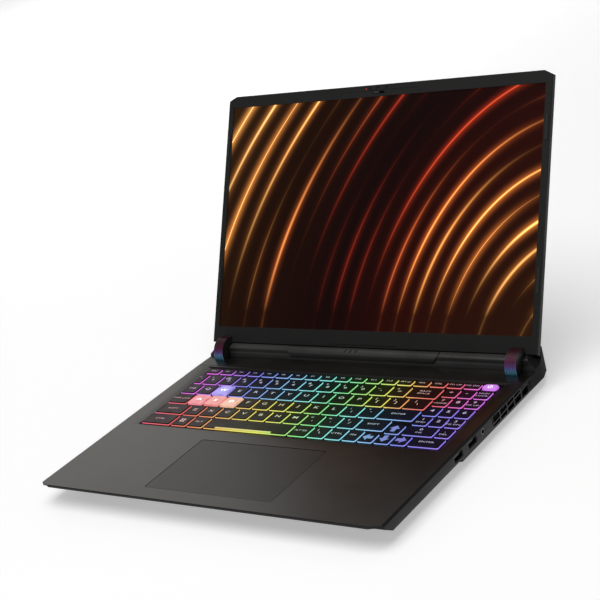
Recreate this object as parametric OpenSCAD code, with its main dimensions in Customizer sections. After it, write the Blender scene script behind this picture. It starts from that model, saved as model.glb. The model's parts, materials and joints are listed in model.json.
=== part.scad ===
// Laptop computer, 16-inch class, lid open.
// Base frame: X to the right, Y from the front edge of the deck to the back, Z up from the deck.
// Lid frame: X along the hinge pins, Y up the lid from the hinge axis, Z out of the screen.

/* [Overall size] */
// Width of the base and the lid
body_w = 357; // [330:1:430]
// Depth of the base from its front edge to the back of the tail
body_d = 284; // [260:1:345]
// Height of the deck above the table
deck_h = 20.8; // [20:0.1:26]
// Thickness of the closed lid
lid_t = 6.6; // [6.2:0.1:9]
// Angle between the lid and the deck
lid_open = 120; // [100:1:125]

/* [Shells] */
// Thickness of the deck
deck_t = 1.6; // [1.2:0.1:2.4]
// Thickness of the side and rear walls
wall_t = 2; // [1.4:0.1:2.6]
// Thickness of the bottom cover
cover_t = 1.6; // [1.2:0.1:2.2]
// Thickness of the lid cover
lid_wall = 1.4; // [1:0.1:1.8]
// Height of the rubber feet
foot_h = 3.4; // [2:0.1:5]
// Seam between two shells
seam = 0.15; // [0.1:0.05:0.4]
// Width of the chamfer along the top of the side walls
edge_cut = 1.6; // [0.6:0.1:2.4]

/* [Keyboard] */
// Distance from the side of the base to the keys
kb_margin = 19.3; // [12:0.1:40]
// Depth of one letter row
row_pitch = 19.2; // [16:0.1:19.6]
// Depth of one numpad row
pad_row_pitch = 16.2; // [13.6:0.1:16.4]
// Gap between two key caps
key_gap = 2.2; // [1.6:0.1:3]
// Height of a key cap
key_h = 1.9; // [1.7:0.1:2.6]
// Travel of a key
key_travel = 1.5; // [1:0.1:1.7]
// Clearance round a key cap in the deck
key_clear = 0.45; // [0.3:0.05:0.6]
// Depth of the basin that holds the keys
basin_depth = 1.3; // [0.8:0.1:1.6]
// Distance from the hinge axis to the rear edge of the keys
kb_to_hinge = 31.4; // [29:0.1:36]

/* [Touchpad] */
// Width of the touchpad
pad_w = 132.6; // [90:0.1:160]
// Distance from the front edge to the touchpad
pad_front = 15.4; // [15:0.1:20]
// Distance from the touchpad to the keys
pad_to_keys = 18.8; // [16:0.1:24]
// Clearance round the touchpad
pad_clear = 0.35; // [0.3:0.05:0.6]

/* [Lid] */
// Width of the bezel beside the screen
side_bezel = 6.15; // [5:0.05:9]
// Width of the bezel above the screen
top_bezel = 11.2; // [10.5:0.1:16]
// Width of the bezel below the screen
chin_h = 15.4; // [13:0.1:20]
// Setback of the closed lid from the front edge of the deck
lid_setback = 2.1; // [1:0.1:4]
// Travel of the webcam shutter
shutter_travel = 4; // [3:0.5:6]

/* [Hinge] */
// Distance from the hinge axis to the back of the tail
tail_l = 31.6; // [29:0.1:36]
// Height of the hinge axis above the deck
hinge_z = 2.45; // [2.2:0.05:3]
// Radius of the hinge pins
pin_r = 2.4; // [1.8:0.1:2.6]
// Running clearance of the pins in the brackets
pin_clear = 0.05; // [0.02:0.01:0.1]
// Outer radius of the hinge covers
hinge_cover_r = 14.1; // [13.6:0.1:14.4]
// Width of the hinge covers
hinge_cover_w = 11; // [10.4:0.1:14]
// Distance from the side of the base to the middle of a hinge
hinge_inset = 18; // [17:0.5:24]

/* [Cooling] */
// Radius of the fan impellers
fan_r = 34; // [28:0.5:36]
// Blades on each impeller
fan_blades = 23; // [11:2:31]
// Distance from the side of the base to a fan's shaft
fan_inset = 62.5; // [60:0.5:68]

/* [Hidden] */

half_w = body_w / 2;
hinge_x = half_w - hinge_inset;
hinge_y = body_d - tail_l;
lid_tilt = 180 - lid_open;

// The closed lid's bezel lies this far above the hinge axis's plane.
bezel_z = 1.3;
chin_edge = 8.34;
lid_back = lid_t - bezel_z;
lid_top = hinge_y - lid_setback;
lid_bevel = 1.2;
screen_bottom = chin_edge + chin_h;
screen_top = lid_top - top_bezel;
screen_w = body_w - 2 * side_bezel;

reach_edge = lid_top * cos(lid_tilt) + (lid_back - lid_bevel) * sin(lid_tilt);
reach_back = (lid_top - lid_bevel) * cos(lid_tilt) + lid_back * sin(lid_tilt);
overall_y = hinge_y + max(reach_edge, reach_back);

// Heights below the deck
bottom_z = -(deck_h - foot_h);
floor_z = bottom_z + cover_t;
side_z_front = -10.4;
side_z_rear = -12.9;
step_y = hinge_y - 136.4;
step_run = 5;
lip_z = -2.2;
lip_y = 1.9;
slope_y = 14;
corner_x = 12;
corner_y = 4.7;
side_draft = 0.9;
side_run = 16;
slope = (side_z_front - lip_z) / (slope_y - lip_y);

// The deck ends at the hump and carries a sloping strip in front of it.
hump_foot = 5.9;
deck_d = hinge_y - hump_foot;
crease_y = hinge_y - 26.5;
strip_drop = 0.9;

// Keyboard layout, in units of the letter pitch
kb_units = 16.7;
kb_w = body_w - 2 * kb_margin;
kb_u = kb_w / kb_units;
kb_x0 = 2 - kb_w / 2;
kb_f_depth = 11;
kb_f_gap = 1;
kb_rear = hinge_y - kb_to_hinge;
row_y = [for (i = [0 : 4]) kb_rear - kb_f_depth - kb_f_gap - (5 - i) * row_pitch];
f_row_y = kb_rear - kb_f_depth;
kb_front = row_y[0];
pad_cells_x = 14.28;
pad_cell_w = (kb_units - pad_cells_x) / 3;
arrow_w = 0.84;
arrow_x = 12.54;

w_modifiers = [1.85, 0.99, 1.02, 4.91, 1.07, 0.96, 0.92, 0.82];
w_bottom = concat([1.78], [for (i = [1 : 10]) 1], [1.52]);
w_home = concat([1.25], [for (i = [1 : 11]) 1], [1.95]);
w_top = concat([0.98], [for (i = [1 : 12]) 1], [1.22]);
w_number = concat([0.55], [for (i = [1 : 12]) 1], [1.65]);
f_keys = 19;
w_function = [for (i = [1 : f_keys]) kb_units / f_keys];

pad_d = kb_front - pad_to_keys - pad_front;
pad_t = 1.2;
pad_sink = 0.15;

key_top = 0.25;
web_t = 0.9;
plate_t = 0.8;
plate_z = -basin_depth - web_t - key_travel;
light_t = 0.5;

fan_x = half_w - fan_inset;
fan_wall = 4;
pipe_y = hinge_y - 30;
fan_y = pipe_y - 6 - fan_wall - fan_r;
fan_h = 6.4;
fan_z = -12.6;
hinge_pocket_w = hinge_cover_w + 1.6;
cover_band = 2.4;
boss_r = 3;
screw_r = 1.2;
screw_head_r = 2.4;

usb_w = 13.1;
usb_h = 5.7;
usb_l = 14;
usb_y = [hinge_y - 138.8, hinge_y - 116.4];
jack_y = hinge_y - 99.1;
jack_r = 1.8;
port_z = -5.6;
rear_port_z = -5;
rj_w = 11.7;
rj_h = 7;
rj_x = -58;
hdmi_x = -22;
rear_c_x = 10;
dc_x = 50;
dc_w = 14;
dc_h = 5.4;

function sum_to(v, n) = n == 0 ? 0 : v[n - 1] + sum_to(v, n - 1);

// A key's cell: left, right, front and rear edges
function cell(x, w, y, d) = [kb_x0 + x * kb_u, kb_x0 + (x + w) * kb_u, y, y + d];
function row_cell(v, i, y, d) = cell(sum_to(v, i), v[i], y, d);
function pad_cell(col, row, n = 1) =
  cell(pad_cells_x + col * pad_cell_w, n * pad_cell_w, kb_front + row * pad_row_pitch,
       row < 5 ? pad_row_pitch : row_y[4] + row_pitch - kb_front - 5 * pad_row_pitch);
function arrow_cell(col, row) =
  cell(arrow_x + col * arrow_w, arrow_w, kb_front + row * pad_row_pitch, pad_row_pitch);

function row_cells(v, y, d, keys) = [for (i = keys) row_cell(v, i, y, d)];

space_cell = row_cell(w_modifiers, 3, row_y[0], row_pitch);
modifier_cells = row_cells(w_modifiers, row_y[0], row_pitch, [0, 1, 2, 4, 5, 6, 7]);
shift_l_cell = row_cell(w_bottom, 0, row_y[1], row_pitch);
shift_r_cell = row_cell(w_bottom, 11, row_y[1], row_pitch);
bottom_cells = row_cells(w_bottom, row_y[1], row_pitch, [1 : 10]);
a_cell = row_cell(w_home, 1, row_y[2], row_pitch);
s_cell = row_cell(w_home, 2, row_y[2], row_pitch);
d_cell = row_cell(w_home, 3, row_y[2], row_pitch);
enter_cell = row_cell(w_home, 12, row_y[2], row_pitch);
home_cells = row_cells(w_home, row_y[2], row_pitch, concat([0], [for (i = [4 : 11]) i]));
tab_cell = row_cell(w_top, 0, row_y[3], row_pitch);
w_cell = row_cell(w_top, 2, row_y[3], row_pitch);
top_cells = row_cells(w_top, row_y[3], row_pitch, concat([1], [for (i = [3 : 13]) i]));
backspace_cell = row_cell(w_number, 13, row_y[4], row_pitch);
number_cells = row_cells(w_number, row_y[4], row_pitch, [0 : 12]);
function_cells = row_cells(w_function, f_row_y, kb_f_depth, [0 : f_keys - 2]);
power_cell = row_cell(w_function, f_keys - 1, f_row_y, kb_f_depth);
arrow_cells = [arrow_cell(0, 0), arrow_cell(1, 0), arrow_cell(2, 0), arrow_cell(1, 1)];
enter_pad_cell = pad_cell(1, 0, 2);
numpad_cells = concat(
  [pad_cell(0, 1, 2), pad_cell(2, 1)],
  [for (row = [2 : 5]) for (col = [0 : 2]) pad_cell(col, row)]
);
all_cells = concat(
  [space_cell, shift_l_cell, shift_r_cell, a_cell, s_cell, d_cell, enter_cell],
  [tab_cell, w_cell, backspace_cell, power_cell, enter_pad_cell],
  modifier_cells, bottom_cells, home_cells, top_cells, number_cells, function_cells,
  arrow_cells, numpad_cells
);

boss_row_y = kb_front - 6;
speaker_inset = 64;
speaker_y = [38, boss_row_y - 7];
boss_rear_y = hinge_y - 14;
screw_side_x = half_w - 26;
screw_places = [
  [-screw_side_x, 34], [screw_side_x, 34], [-screw_side_x, boss_row_y],
  [screw_side_x, boss_row_y], [-76, boss_row_y], [76, boss_row_y], [0, boss_row_y],
  [48 - hinge_x, boss_rear_y], [hinge_x - 48, boss_rear_y], [-52, boss_rear_y], [52, boss_rear_y]
];

// ---------- frames and helpers ----------

module base_frame() {
  translate([0, -overall_y / 2, deck_h]) children();
}

module lid_frame() {
  base_frame() translate([0, hinge_y, hinge_z]) rotate([lid_tilt, 0, 0]) children();
}

// Prism along X, centred, from a Y-Z outline
module along_x(length, points) {
  rotate([90, 0, 90]) linear_extrude(length, center = true) polygon(points);
}

// Prism along Y from an X-Z outline
module along_y(y0, y1, points) {
  translate([0, y1, 0]) rotate([90, 0, 0]) linear_extrude(y1 - y0) polygon(points);
}

module block(x, y, z) {
  translate([x[0], y[0], z[0]]) cube([x[1] - x[0], y[1] - y[0], z[1] - z[0]]);
}

module both_sides() {
  children();
  mirror([1, 0, 0]) children();
}

module cell_outline(c, inset, corner) {
  x0 = c[0] + inset;
  x1 = c[1] - inset;
  y0 = c[2] + inset;
  y1 = c[3] - inset;
  polygon([
    [x0 + corner, y0], [x1 - corner, y0], [x1, y0 + corner], [x1, y1 - corner],
    [x1 - corner, y1], [x0 + corner, y1], [x0, y1 - corner], [x0, y0 + corner]
  ]);
}

module key_cap(c) {
  translate([0, 0, key_top - key_h])
    linear_extrude(key_h) cell_outline(c, key_gap / 2, 0.9);
}

module key_group(cells, shade) {
  color(shade) base_frame() for (c = cells) key_cap(c);
}

// ---------- base shells ----------

module base_sides(draft_z, inset) {
  x = half_w - inset;
  along_y(-1, body_d + 1, [
    [x - edge_cut, 0], [x, -edge_cut], [x, draft_z + 3], [x - side_draft, side_z_rear],
    [x - side_draft, -40], [side_draft - x, -40], [side_draft - x, side_z_rear],
    [-x, draft_z + 3], [-x, -edge_cut], [edge_cut - x, 0]
  ]);
}

module base_plan() {
  translate([0, 0, -40]) linear_extrude(60) polygon([
    [corner_x - half_w, 0], [half_w - corner_x, 0], [half_w, corner_y], [half_w, deck_d],
    [-half_w, deck_d], [-half_w, corner_y]
  ]);
}

module top_case_outer() {
  intersection() {
    along_x(body_w, [
      [0.5, 0], [deck_d, 0], [deck_d, side_z_rear], [step_y + step_run, side_z_rear],
      [step_y, side_z_front], [slope_y, side_z_front], [lip_y, lip_z], [0, lip_z], [0, -0.5]
    ]);
    base_sides(side_z_front, 0);
    base_plan();
  }
}

module top_case_hollow() {
  front = lip_y + (-deck_t - lip_z) / slope + 1.2 * wall_t;
  along_x(body_w - 2 * wall_t, [
    [front, -deck_t], [crease_y - 2, -deck_t], [crease_y, -deck_t - strip_drop],
    [deck_d + 1, -deck_t - strip_drop], [deck_d + 1, -40],
    [slope_y + 3.2, -40], [slope_y + 3.2, side_z_front]
  ]);
}

module basin() {
  x0 = kb_x0 - 1.5;
  x1 = kb_x0 + kb_w + 1.5;
  y0 = kb_front - 0.8;
  run = 4.5;
  intersection() {
    along_x(2 * body_w, [
      [y0 - run, 0], [y0, -basin_depth], [kb_rear + 1.2, -basin_depth], [kb_rear + 2.6, 0],
      [kb_rear + 2.6, 1], [y0 - run, 1]
    ]);
    along_y(0, body_d, [
      [x0 - run, 0], [x0, -basin_depth], [x1, -basin_depth], [x1 + run, 0],
      [x1 + run, 1], [x0 - run, 1]
    ]);
  }
}

module key_web() {
  translate([0, 0, -basin_depth - web_t]) linear_extrude(basin_depth + web_t - 0.6) difference() {
    translate([kb_x0 - 7, kb_front - 6.5])
      square([kb_w + 14, kb_rear - kb_front + 11]);
    for (c = all_cells) cell_outline(c, key_gap / 2 - key_clear, 0.9);
  }
}

module rear_strip() {
  along_x(body_w + 2, [
    [crease_y, 1], [crease_y, -0.5], [crease_y + 0.8, -0.5], [crease_y + 1, -0.15],
    [deck_d + 1, -strip_drop], [deck_d + 1, 1]
  ]);
}

module hinge_pocket(grow) {
  x = hinge_x - hinge_pocket_w / 2 - grow;
  reach = hinge_cover_r + 0.7 + grow;
  both_sides() block([x, x + hinge_pocket_w + 2 * grow],
    [hinge_y - reach, hinge_y + 10.2 + grow], [hinge_z - reach - 0.5, 40]);
}

// Upright ribs with one slanting bar across them
vent_y = hinge_y - 82;
vent_cols = 5;
vent_pitch = 12.4;
vent_rib = 1.5;
vent_z = [-11, -2.4];
vent_bar = 1.3;

function vent_bar_z(y) =
  vent_z[0] + 2.6 + (vent_z[1] - vent_z[0] - 3.6) * (y - vent_y) / (vent_cols * vent_pitch);

module side_vents() {
  for (i = [0 : vent_cols - 1]) {
    y0 = vent_y + i * vent_pitch;
    y1 = y0 + vent_pitch - vent_rib;
    along_x(body_w + 10, [
      [y0, vent_bar_z(y0) + vent_bar / 2], [y1, vent_bar_z(y1) + vent_bar / 2],
      [y1, vent_z[1]], [y0, vent_z[1]]
    ]);
    along_x(body_w + 10, [
      [y0, vent_z[0]], [y1, vent_z[0]], [y1, vent_bar_z(y1) - vent_bar / 2],
      [y0, vent_bar_z(y0) - vent_bar / 2]
    ]);
  }
}

module side_vent_grooves() {
  both_sides() for (y = [hinge_y - 84, hinge_y - 18.4])
    block([half_w - 0.5, half_w + 1], [y, y + 1.1], vent_z);
}

module side_port_cuts() {
  x = [half_w - 3, half_w + 1];
  for (side = [0, 1]) mirror([side, 0, 0]) for (i = [side, 1])
    block(x, [usb_y[i] - usb_w / 2, usb_y[i] + usb_w / 2],
      [port_z - usb_h / 2, port_z + usb_h / 2]);
  mirror([1, 0, 0]) block(x, [usb_y[0] - 4.7, usb_y[0] + 4.7], [port_z - 1.8, port_z + 1.8]);
  translate([half_w - 3, jack_y, port_z]) rotate([0, 90, 0]) cylinder(h = 5, r = 2.9, $fn = 48);
}

module screw_bosses() {
  intersection() {
    for (p = screw_places) translate([p[0], p[1], floor_z])
      cylinder(h = -floor_z - deck_t + 0.5, r = boss_r, $fn = 32);
    cover_outer(cover_t + 0.05);
  }
}

// Posts that the hinge brackets are screwed to
bracket_screws = [[20, -18], [10, -25]];
bracket_z = -4.95;

module bracket_posts() {
  x = hinge_x - hinge_pocket_w / 2;
  both_sides() for (p = bracket_screws)
    translate([x - p[0], hinge_y + p[1], bracket_z])
      cylinder(h = -bracket_z - deck_t - 0.2, r = 2.8, $fn = 32);
}

module screw_holes() {
  for (p = screw_places) translate([p[0], p[1], floor_z - 1])
    cylinder(h = 6.5, r = screw_r + 0.05, $fn = 24);
}

module top_case() {
  color("#3d3b38") base_frame() difference() {
    union() {
      difference() {
        top_case_outer();
        top_case_hollow();
        basin();
        translate([kb_x0 - 2, kb_front - 1.4, -3]) cube([kb_w + 4, kb_rear - kb_front + 2.6, 3.1]);
      }
      difference() {
        key_web();
        basin();
      }
      screw_bosses();
      bracket_posts();
    }
    rear_strip();
    hinge_pocket(0);
    side_vents();
    side_vent_grooves();
    side_port_cuts();
    screw_holes();
    translate([0, 0, -3]) linear_extrude(4)
      cell_outline([-pad_w / 2, pad_w / 2, pad_front, pad_front + pad_d], -pad_clear, 1.5);
  }
}

// Cross-section of the cover: rim at height rim, sloping in to the flat bottom
module cover_section(y0, y1, x, rim, z) {
  along_y(y0, y1, [[-x, 20], [-x, rim], [side_run - x, z], [x - side_run, z], [x, rim], [x, 20]]);
}

module cover_outer(inset) {
  drop = side_z_front - seam;
  drop_r = side_z_rear - seam;
  x = half_w - side_draft - inset;
  z = bottom_z + inset;
  lift = inset > 0 ? 30 : 0;
  end = hinge_y + 9.4 + (inset > 0 ? 1 : 0);
  front = slope_y + 0.4 + inset;
  toe = slope_y + 0.4 + 1.2 * inset + (z - inset - drop) / slope;
  split = step_y + step_run / 2;
  intersection() {
    along_x(2 * x, [
      [front, drop + lift], [step_y - seam, drop + lift], [step_y + step_run - seam, drop_r + lift],
      [end, drop_r + lift], [end, z], [toe, z], [front, drop + inset / 2]
    ]);
    union() {
      cover_section(0, split, x, drop + inset / 2, z);
      cover_section(split, body_d, x, drop_r + inset / 2, z);
    }
  }
}

// Standoffs for the motherboard and the fans
module standoffs() {
  for (p = board_posts) translate([p[0], p[1], floor_z - 0.5])
    cylinder(h = board_z - floor_z + 0.5, r = 2.4, $fn = 32);
  for (side = [-1, 1]) for (a = [100, 220, 340])
    translate([side * (fan_x + (fan_r + 1.8) * cos(a)), fan_y + (fan_r + 1.8) * sin(a), floor_z - 0.5])
      cylinder(h = fan_z - floor_z + 0.5, r = 1.6, $fn = 32);
}

module intake_slots() {
  pitch = 5.2;
  slots = floor(2 * fan_r / pitch);
  both_sides() for (i = [0 : slots - 1]) {
    y = fan_y - slots * pitch / 2 + i * pitch;
    dy = y + 1.3 - fan_y;
    half = sqrt(max(fan_r * fan_r - dy * dy, 100));
    block([fan_x - half, fan_x + half], [y, y + 2.6], [bottom_z - 1, floor_z + 1]);
  }
}

module speaker_slots() {
  both_sides() for (i = [0 : 5])
    block([half_w - 58 + i * 5, half_w - 56 + i * 5], [speaker_y[0] + 6, speaker_y[1] - 6],
      [bottom_z - 1, floor_z + 1]);
}

module bottom_cover() {
  color("#1c1c1d") base_frame() difference() {
    union() {
      difference() {
        cover_outer(0);
        cover_outer(cover_t);
      }
      standoffs();
    }
    intake_slots();
    speaker_slots();
    for (p = screw_places) translate([p[0], p[1], bottom_z - 10]) {
      cylinder(h = 30, r = screw_r + 0.1, $fn = 24);
      cylinder(h = 10.8, r = screw_head_r + 0.2, $fn = 32);
    }
    hinge_pocket(0);
  }
}

// Outline of the hump and the tail round the hinge axis
hump_outline = [
  [-hump_foot, -hinge_z - strip_drop], [-5.3, -1.4], [-3.9, 0.5], [-3.3, 1.6], [-2.9, 4.4],
  [-2.1, 5.5], [-0.4, 6.3], [3.3, 7.1], [5.7, 5.4],
  [7.5, 0.75], [10.5, 0.75], [14.2, 5.75], [25, 5.35]
];

module tail_outer() {
  x = half_w;
  tail_low = bottom_z - hinge_z;
  intersection() {
    translate([0, hinge_y, hinge_z]) along_x(body_w, concat(
      [[-hump_foot, side_z_rear - hinge_z]], hump_outline,
      [
        [tail_l - 1.6, 2.4], [tail_l - 0.4, -1.2], [tail_l, -4], [tail_l, -11],
        [tail_l - 4.4, -16.6], [tail_l - 9.4, tail_low], [9.6, tail_low],
        [9.6, side_z_rear - hinge_z]
      ]
    ));
    along_y(0, body_d + 1, [
      [x - 11, 12], [x, 1.2], [x, side_z_front + 3], [x - side_draft, side_z_rear],
      [x - side_draft - side_run, bottom_z], [side_draft + side_run - x, bottom_z],
      [side_draft - x, side_z_rear], [-x, side_z_front + 3], [-x, 1.2], [11 - x, 12]
    ]);
    translate([0, 0, -40]) linear_extrude(60) polygon([
      [-x, 0], [x, 0], [x, hinge_y + 3.6], [x - 2.4, hinge_y + 12.6], [x - 6.5, hinge_y + 23.5],
      [x - 10.5, body_d - 2.2], [x - 17, body_d], [17 - x, body_d], [10.5 - x, body_d - 2.2],
      [6.5 - x, hinge_y + 23.5], [2.4 - x, hinge_y + 12.6], [-x, hinge_y + 3.6]
    ]);
  }
}

module tail_hollow() {
  x = half_w - wall_t;
  low = floor_z - hinge_z;
  intersection() {
    translate([0, hinge_y, hinge_z]) along_x(body_w, [
      [-hump_foot - 1, -40], [-hump_foot - 1, -4.8], [-hump_foot + 1.8, -4.8],
      [-2.3, -0.6], [-1.4, 1.6], [-0.6, 3.9], [3.2, 5.3], [4.3, 4.4], [6, -0.8], [11.2, -0.8],
      [15, 4.1], [24.4, 3.7], [tail_l - 3.2, 1.2], [tail_l - 2.1, -1.6],
      [tail_l - 1.8, -4.4], [tail_l - 1.8, -10.4], [tail_l - 5.4, -15.2],
      [tail_l - 10, low], [8, low], [8, -40]
    ]);
    along_y(0, body_d + 1, [
      [x - 12.4, 11], [x, -0.6], [x, side_z_front + 3], [x - side_draft - 1, side_z_rear],
      [x - side_draft - side_run, floor_z], [side_draft + side_run - x, floor_z],
      [side_draft + 1 - x, side_z_rear], [-x, side_z_front + 3], [-x, -0.6], [12.4 - x, 11]
    ]);
    translate([0, 0, -40]) linear_extrude(60) polygon([
      [-x, 0], [x, 0], [x, hinge_y + 3], [x - 2.4, hinge_y + 12], [x - 6.4, hinge_y + 22.6],
      [x - 9.6, body_d - 3.8], [x - 16, body_d - 1], [16 - x, body_d - 1],
      [9.6 - x, body_d - 3.8], [6.4 - x, hinge_y + 22.6], [2.4 - x, hinge_y + 12], [-x, hinge_y + 3]
    ]);
  }
}

// Raised middle of the hump, wider at its top
module hump_panel() {
  low = 75;
  high = 85;
  intersection() {
    translate([0, hinge_y, hinge_z]) along_x(body_w, concat(
      [[-2.6, -1.4]],
      [for (t = [0 : 10 : 90]) [1.5 - 6.9 * cos(t), 7.9 * sin(t) - 0.5]],
      [[3.3, 7.1], [0.4, 4.6]]
    ));
    along_y(hinge_y - 10, hinge_y + 10, [[-low, -3], [low, -3], [high, 12], [-high, 12]]);
  }
}

module hump_slashes() {
  for (i = [0 : 2]) translate([-16 + i * 6, hinge_y - 1.6, hinge_z + 6.7])
    rotate([30, 0, -38]) cube([1.5, 4.2, 1.2], center = true);
}

module rear_grilles() {
  pitch = 4.4;
  count = floor((half_w - 20 - sink_x0) / pitch);
  both_sides() for (i = [0 : count - 1]) {
    x = half_w - 20 - i * pitch;
    block([x - 2.4, x], [body_d - 4, body_d + 1], [-9.5, 0.2]);
  }
}

module rear_port_cuts() {
  y = [body_d - 4, body_d + 1];
  z = rear_port_z;
  block([rj_x - rj_w / 2 - 1.2, rj_x + rj_w / 2 + 1.2], y, [z - 4.5, z + 4.5]);
  block([hdmi_x - 7.6, hdmi_x + 7.6], y, [z - 2.9, z + 2.9]);
  block([rear_c_x - 4.7, rear_c_x + 4.7], y, [z - 1.8, z + 1.8]);
  block([dc_x - dc_w / 2 - 1, dc_x + dc_w / 2 + 1], y, [z - dc_h / 2 - 1, z + dc_h / 2 + 1]);
}

module rear_shroud() {
  color("#2b2a28") base_frame() difference() {
    union() {
      difference() {
        tail_outer();
        tail_hollow();
      }
      hump_panel();
    }
    hinge_pocket(0);
    hump_slashes();
    rear_grilles();
    rear_port_cuts();
  }
}

module rubber_feet() {
  z = [bottom_z - foot_h, bottom_z];
  color("#141414") base_frame() {
    both_sides() block([74, 138], [36, 46], z);
    both_sides() block([26, 158], [hinge_y - 12, hinge_y - 2], z);
  }
}

module bottom_screws() {
  color("#55565a") base_frame() for (p = screw_places) translate([p[0], p[1], bottom_z]) {
    translate([0, 0, 0.1]) cylinder(h = 0.7, r = screw_head_r, $fn = 32);
    translate([0, 0, 0.6]) cylinder(h = 5, r = screw_r, $fn = 24);
  }
}

// ---------- keyboard ----------

module keyboard_plate() {
  x1 = kb_x0 + kb_w + 2;
  color("#4a4b4d") base_frame() difference() {
    block([kb_x0 - 3, x1], [kb_front - 2, kb_rear + 3], [plate_z - plate_t, plate_z]);
    for (p = screw_places) translate([p[0], p[1], plate_z - 2]) cylinder(h = 4, r = boss_r + 0.2, $fn = 32);
    hinge_pocket(0.3);
  }
}

module keyboard_backlight() {
  z = plate_z - plate_t;
  color("#cfd3d6") base_frame() difference() {
    block([kb_x0, kb_x0 + kb_w], [kb_front, kb_rear], [z - light_t, z]);
    for (p = screw_places) translate([p[0], p[1], z - 2]) cylinder(h = 4, r = boss_r + 0.2, $fn = 32);
    hinge_pocket(0.3);
  }
}

module power_button() { key_group([power_cell], "#b98be0"); }
module key_w() { key_group([w_cell], "#8f86e8"); }
module key_a() { key_group([a_cell], "#e0726c"); }
module key_s() { key_group([s_cell], "#e07a66"); }
module key_d() { key_group([d_cell], "#e0905c"); }
module key_space() { key_group([space_cell], "#17171a"); }
module key_enter() { key_group([enter_cell], "#17171a"); }
module key_backspace() { key_group([backspace_cell], "#17171a"); }
module key_tab() { key_group([tab_cell], "#17171a"); }
module key_shift_left() { key_group([shift_l_cell], "#17171a"); }
module key_shift_right() { key_group([shift_r_cell], "#17171a"); }
module key_enter_numpad() { key_group([enter_pad_cell], "#17171a"); }
module keys_function_row() { key_group(function_cells, "#1b1b1e"); }
module keys_number_row() { key_group(number_cells, "#17171a"); }
module keys_top_row() { key_group(top_cells, "#17171a"); }
module keys_home_row() { key_group(home_cells, "#17171a"); }
module keys_bottom_row() { key_group(bottom_cells, "#17171a"); }
module keys_modifiers() { key_group(modifier_cells, "#17171a"); }
module keys_arrows() { key_group(arrow_cells, "#23235a"); }
module keys_numpad() { key_group(numpad_cells, "#17171a"); }

// ---------- touchpad ----------

module touchpad() {
  color("#33312f") base_frame() translate([0, 0, -pad_sink - pad_t]) linear_extrude(pad_t)
    cell_outline([-pad_w / 2, pad_w / 2, pad_front, pad_front + pad_d], 0, 1.5);
}

module touchpad_bracket() {
  x = pad_w / 2 + 8;
  z = -pad_sink - pad_t - 1;
  y1 = pad_front + pad_d;
  color("#8a8c8f") base_frame() {
    difference() {
      block([-x, x], [pad_front - 3, y1 + 8], [z - 0.8, z]);
      block([12 - x, x - 12], [pad_front + 9, y1 - 6], [z - 2, z + 1]);
    }
    block([8 - x, x - 8], [y1 - 8, y1 - 2], [z, z + 0.9]);
    both_sides() block([x - 6, x - 1], [pad_front, y1], [z, -deck_t]);
  }
}

// ---------- electronics ----------

board_z = -10.4;
board_t = 1.2;
board_y0 = kb_front + 8;
board_y1 = hinge_y - 22;
board_half = fan_x - fan_r - 10;
post_x = board_half - 6;
battery_z = floor_z + 0.4;
board_posts = [
  [post_x, board_y0 + 5], [-post_x, board_y0 + 60], [post_x, board_y0 + 60],
  [-post_x, board_y1 - 5], [post_x, board_y1 - 5]
];

module motherboard() {
  z = board_z + board_t;
  color("#12352a") base_frame() {
    block([-board_half, board_half], [board_y0, board_y1], [board_z, z]);
    for (x = [-20, 20]) block([x, x + 24], [board_y0 + 44, board_y0 + 68], [z, z + 1.6]);
    coils = 6;
    coil_pitch = (2 * board_half - 64) / (coils - 1);
    for (i = [0 : coils - 1]) translate([26 - board_half + i * coil_pitch, 0, 0])
      block([0, 10], [board_y0 + 14, board_y0 + 24], [z, z + 1.8]);
  }
}

module battery_pack() {
  cells = 4;
  cell_w = 2 * (half_w - speaker_inset - 2.5) / cells;
  y1 = pad_front + pad_d - 2;
  color("#202124") base_frame() {
    for (i = [0 : cells - 1]) block(
      [-cells * cell_w / 2 + i * cell_w + 0.6, -cells * cell_w / 2 + (i + 1) * cell_w - 0.6],
      [28, y1], [battery_z, battery_z + 7]);
    block([-cells * cell_w / 2, cells * cell_w / 2], [y1, y1 + 5], [battery_z, battery_z + 5]);
  }
}

module fan_housing() {
  out = fan_r + fan_wall;
  difference() {
    union() {
      cylinder(h = fan_h, r = out, $fn = 96);
      block([0, out], [0, out + 6], [0, fan_h]);
    }
    translate([0, 0, 0.8]) cylinder(h = fan_h - 1.6, r = fan_r + 1.2, $fn = 96);
    block([4, out - 1], [6, out + 7], [0.8, fan_h - 0.8]);
    translate([0, 0, -1]) cylinder(h = 3, r = fan_r * 0.72, $fn = 64);
    translate([0, 0, fan_h - 2]) cylinder(h = 3, r = fan_r * 0.72, $fn = 64);
  }
  // Motor spider and shaft
  for (a = [0 : 120 : 240]) rotate([0, 0, a])
    translate([0, -2, 0]) cube([fan_r * 0.74, 4, 0.7]);
  cylinder(h = 0.7, r = 9, $fn = 48);
  cylinder(h = fan_h - 1.4, r = 1.2, $fn = 32);
}

module fan_impeller() {
  translate([0, 0, 1.2]) {
    difference() {
      cylinder(h = fan_h - 2.6, r = 9.5, $fn = 48);
      translate([0, 0, -1]) cylinder(h = fan_h, r = 1.26, $fn = 32);
    }
    for (i = [0 : fan_blades - 1]) rotate([0, 0, i * 360 / fan_blades])
      translate([9, 0, 0.4]) rotate([0, 0, 24]) cube([fan_r - 12.4, 0.7, fan_h - 3.4]);
    difference() {
      cylinder(h = 0.5, r = fan_r - 4, $fn = 96);
      translate([0, 0, -1]) cylinder(h = 3, r = 9.2, $fn = 48);
    }
  }
}

module fan_housing_right() {
  color("#25262a") base_frame() translate([fan_x, fan_y, fan_z]) fan_housing();
}

module fan_housing_left() {
  color("#25262a") base_frame() translate([-fan_x, fan_y, fan_z]) mirror([1, 0, 0]) fan_housing();
}

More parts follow.
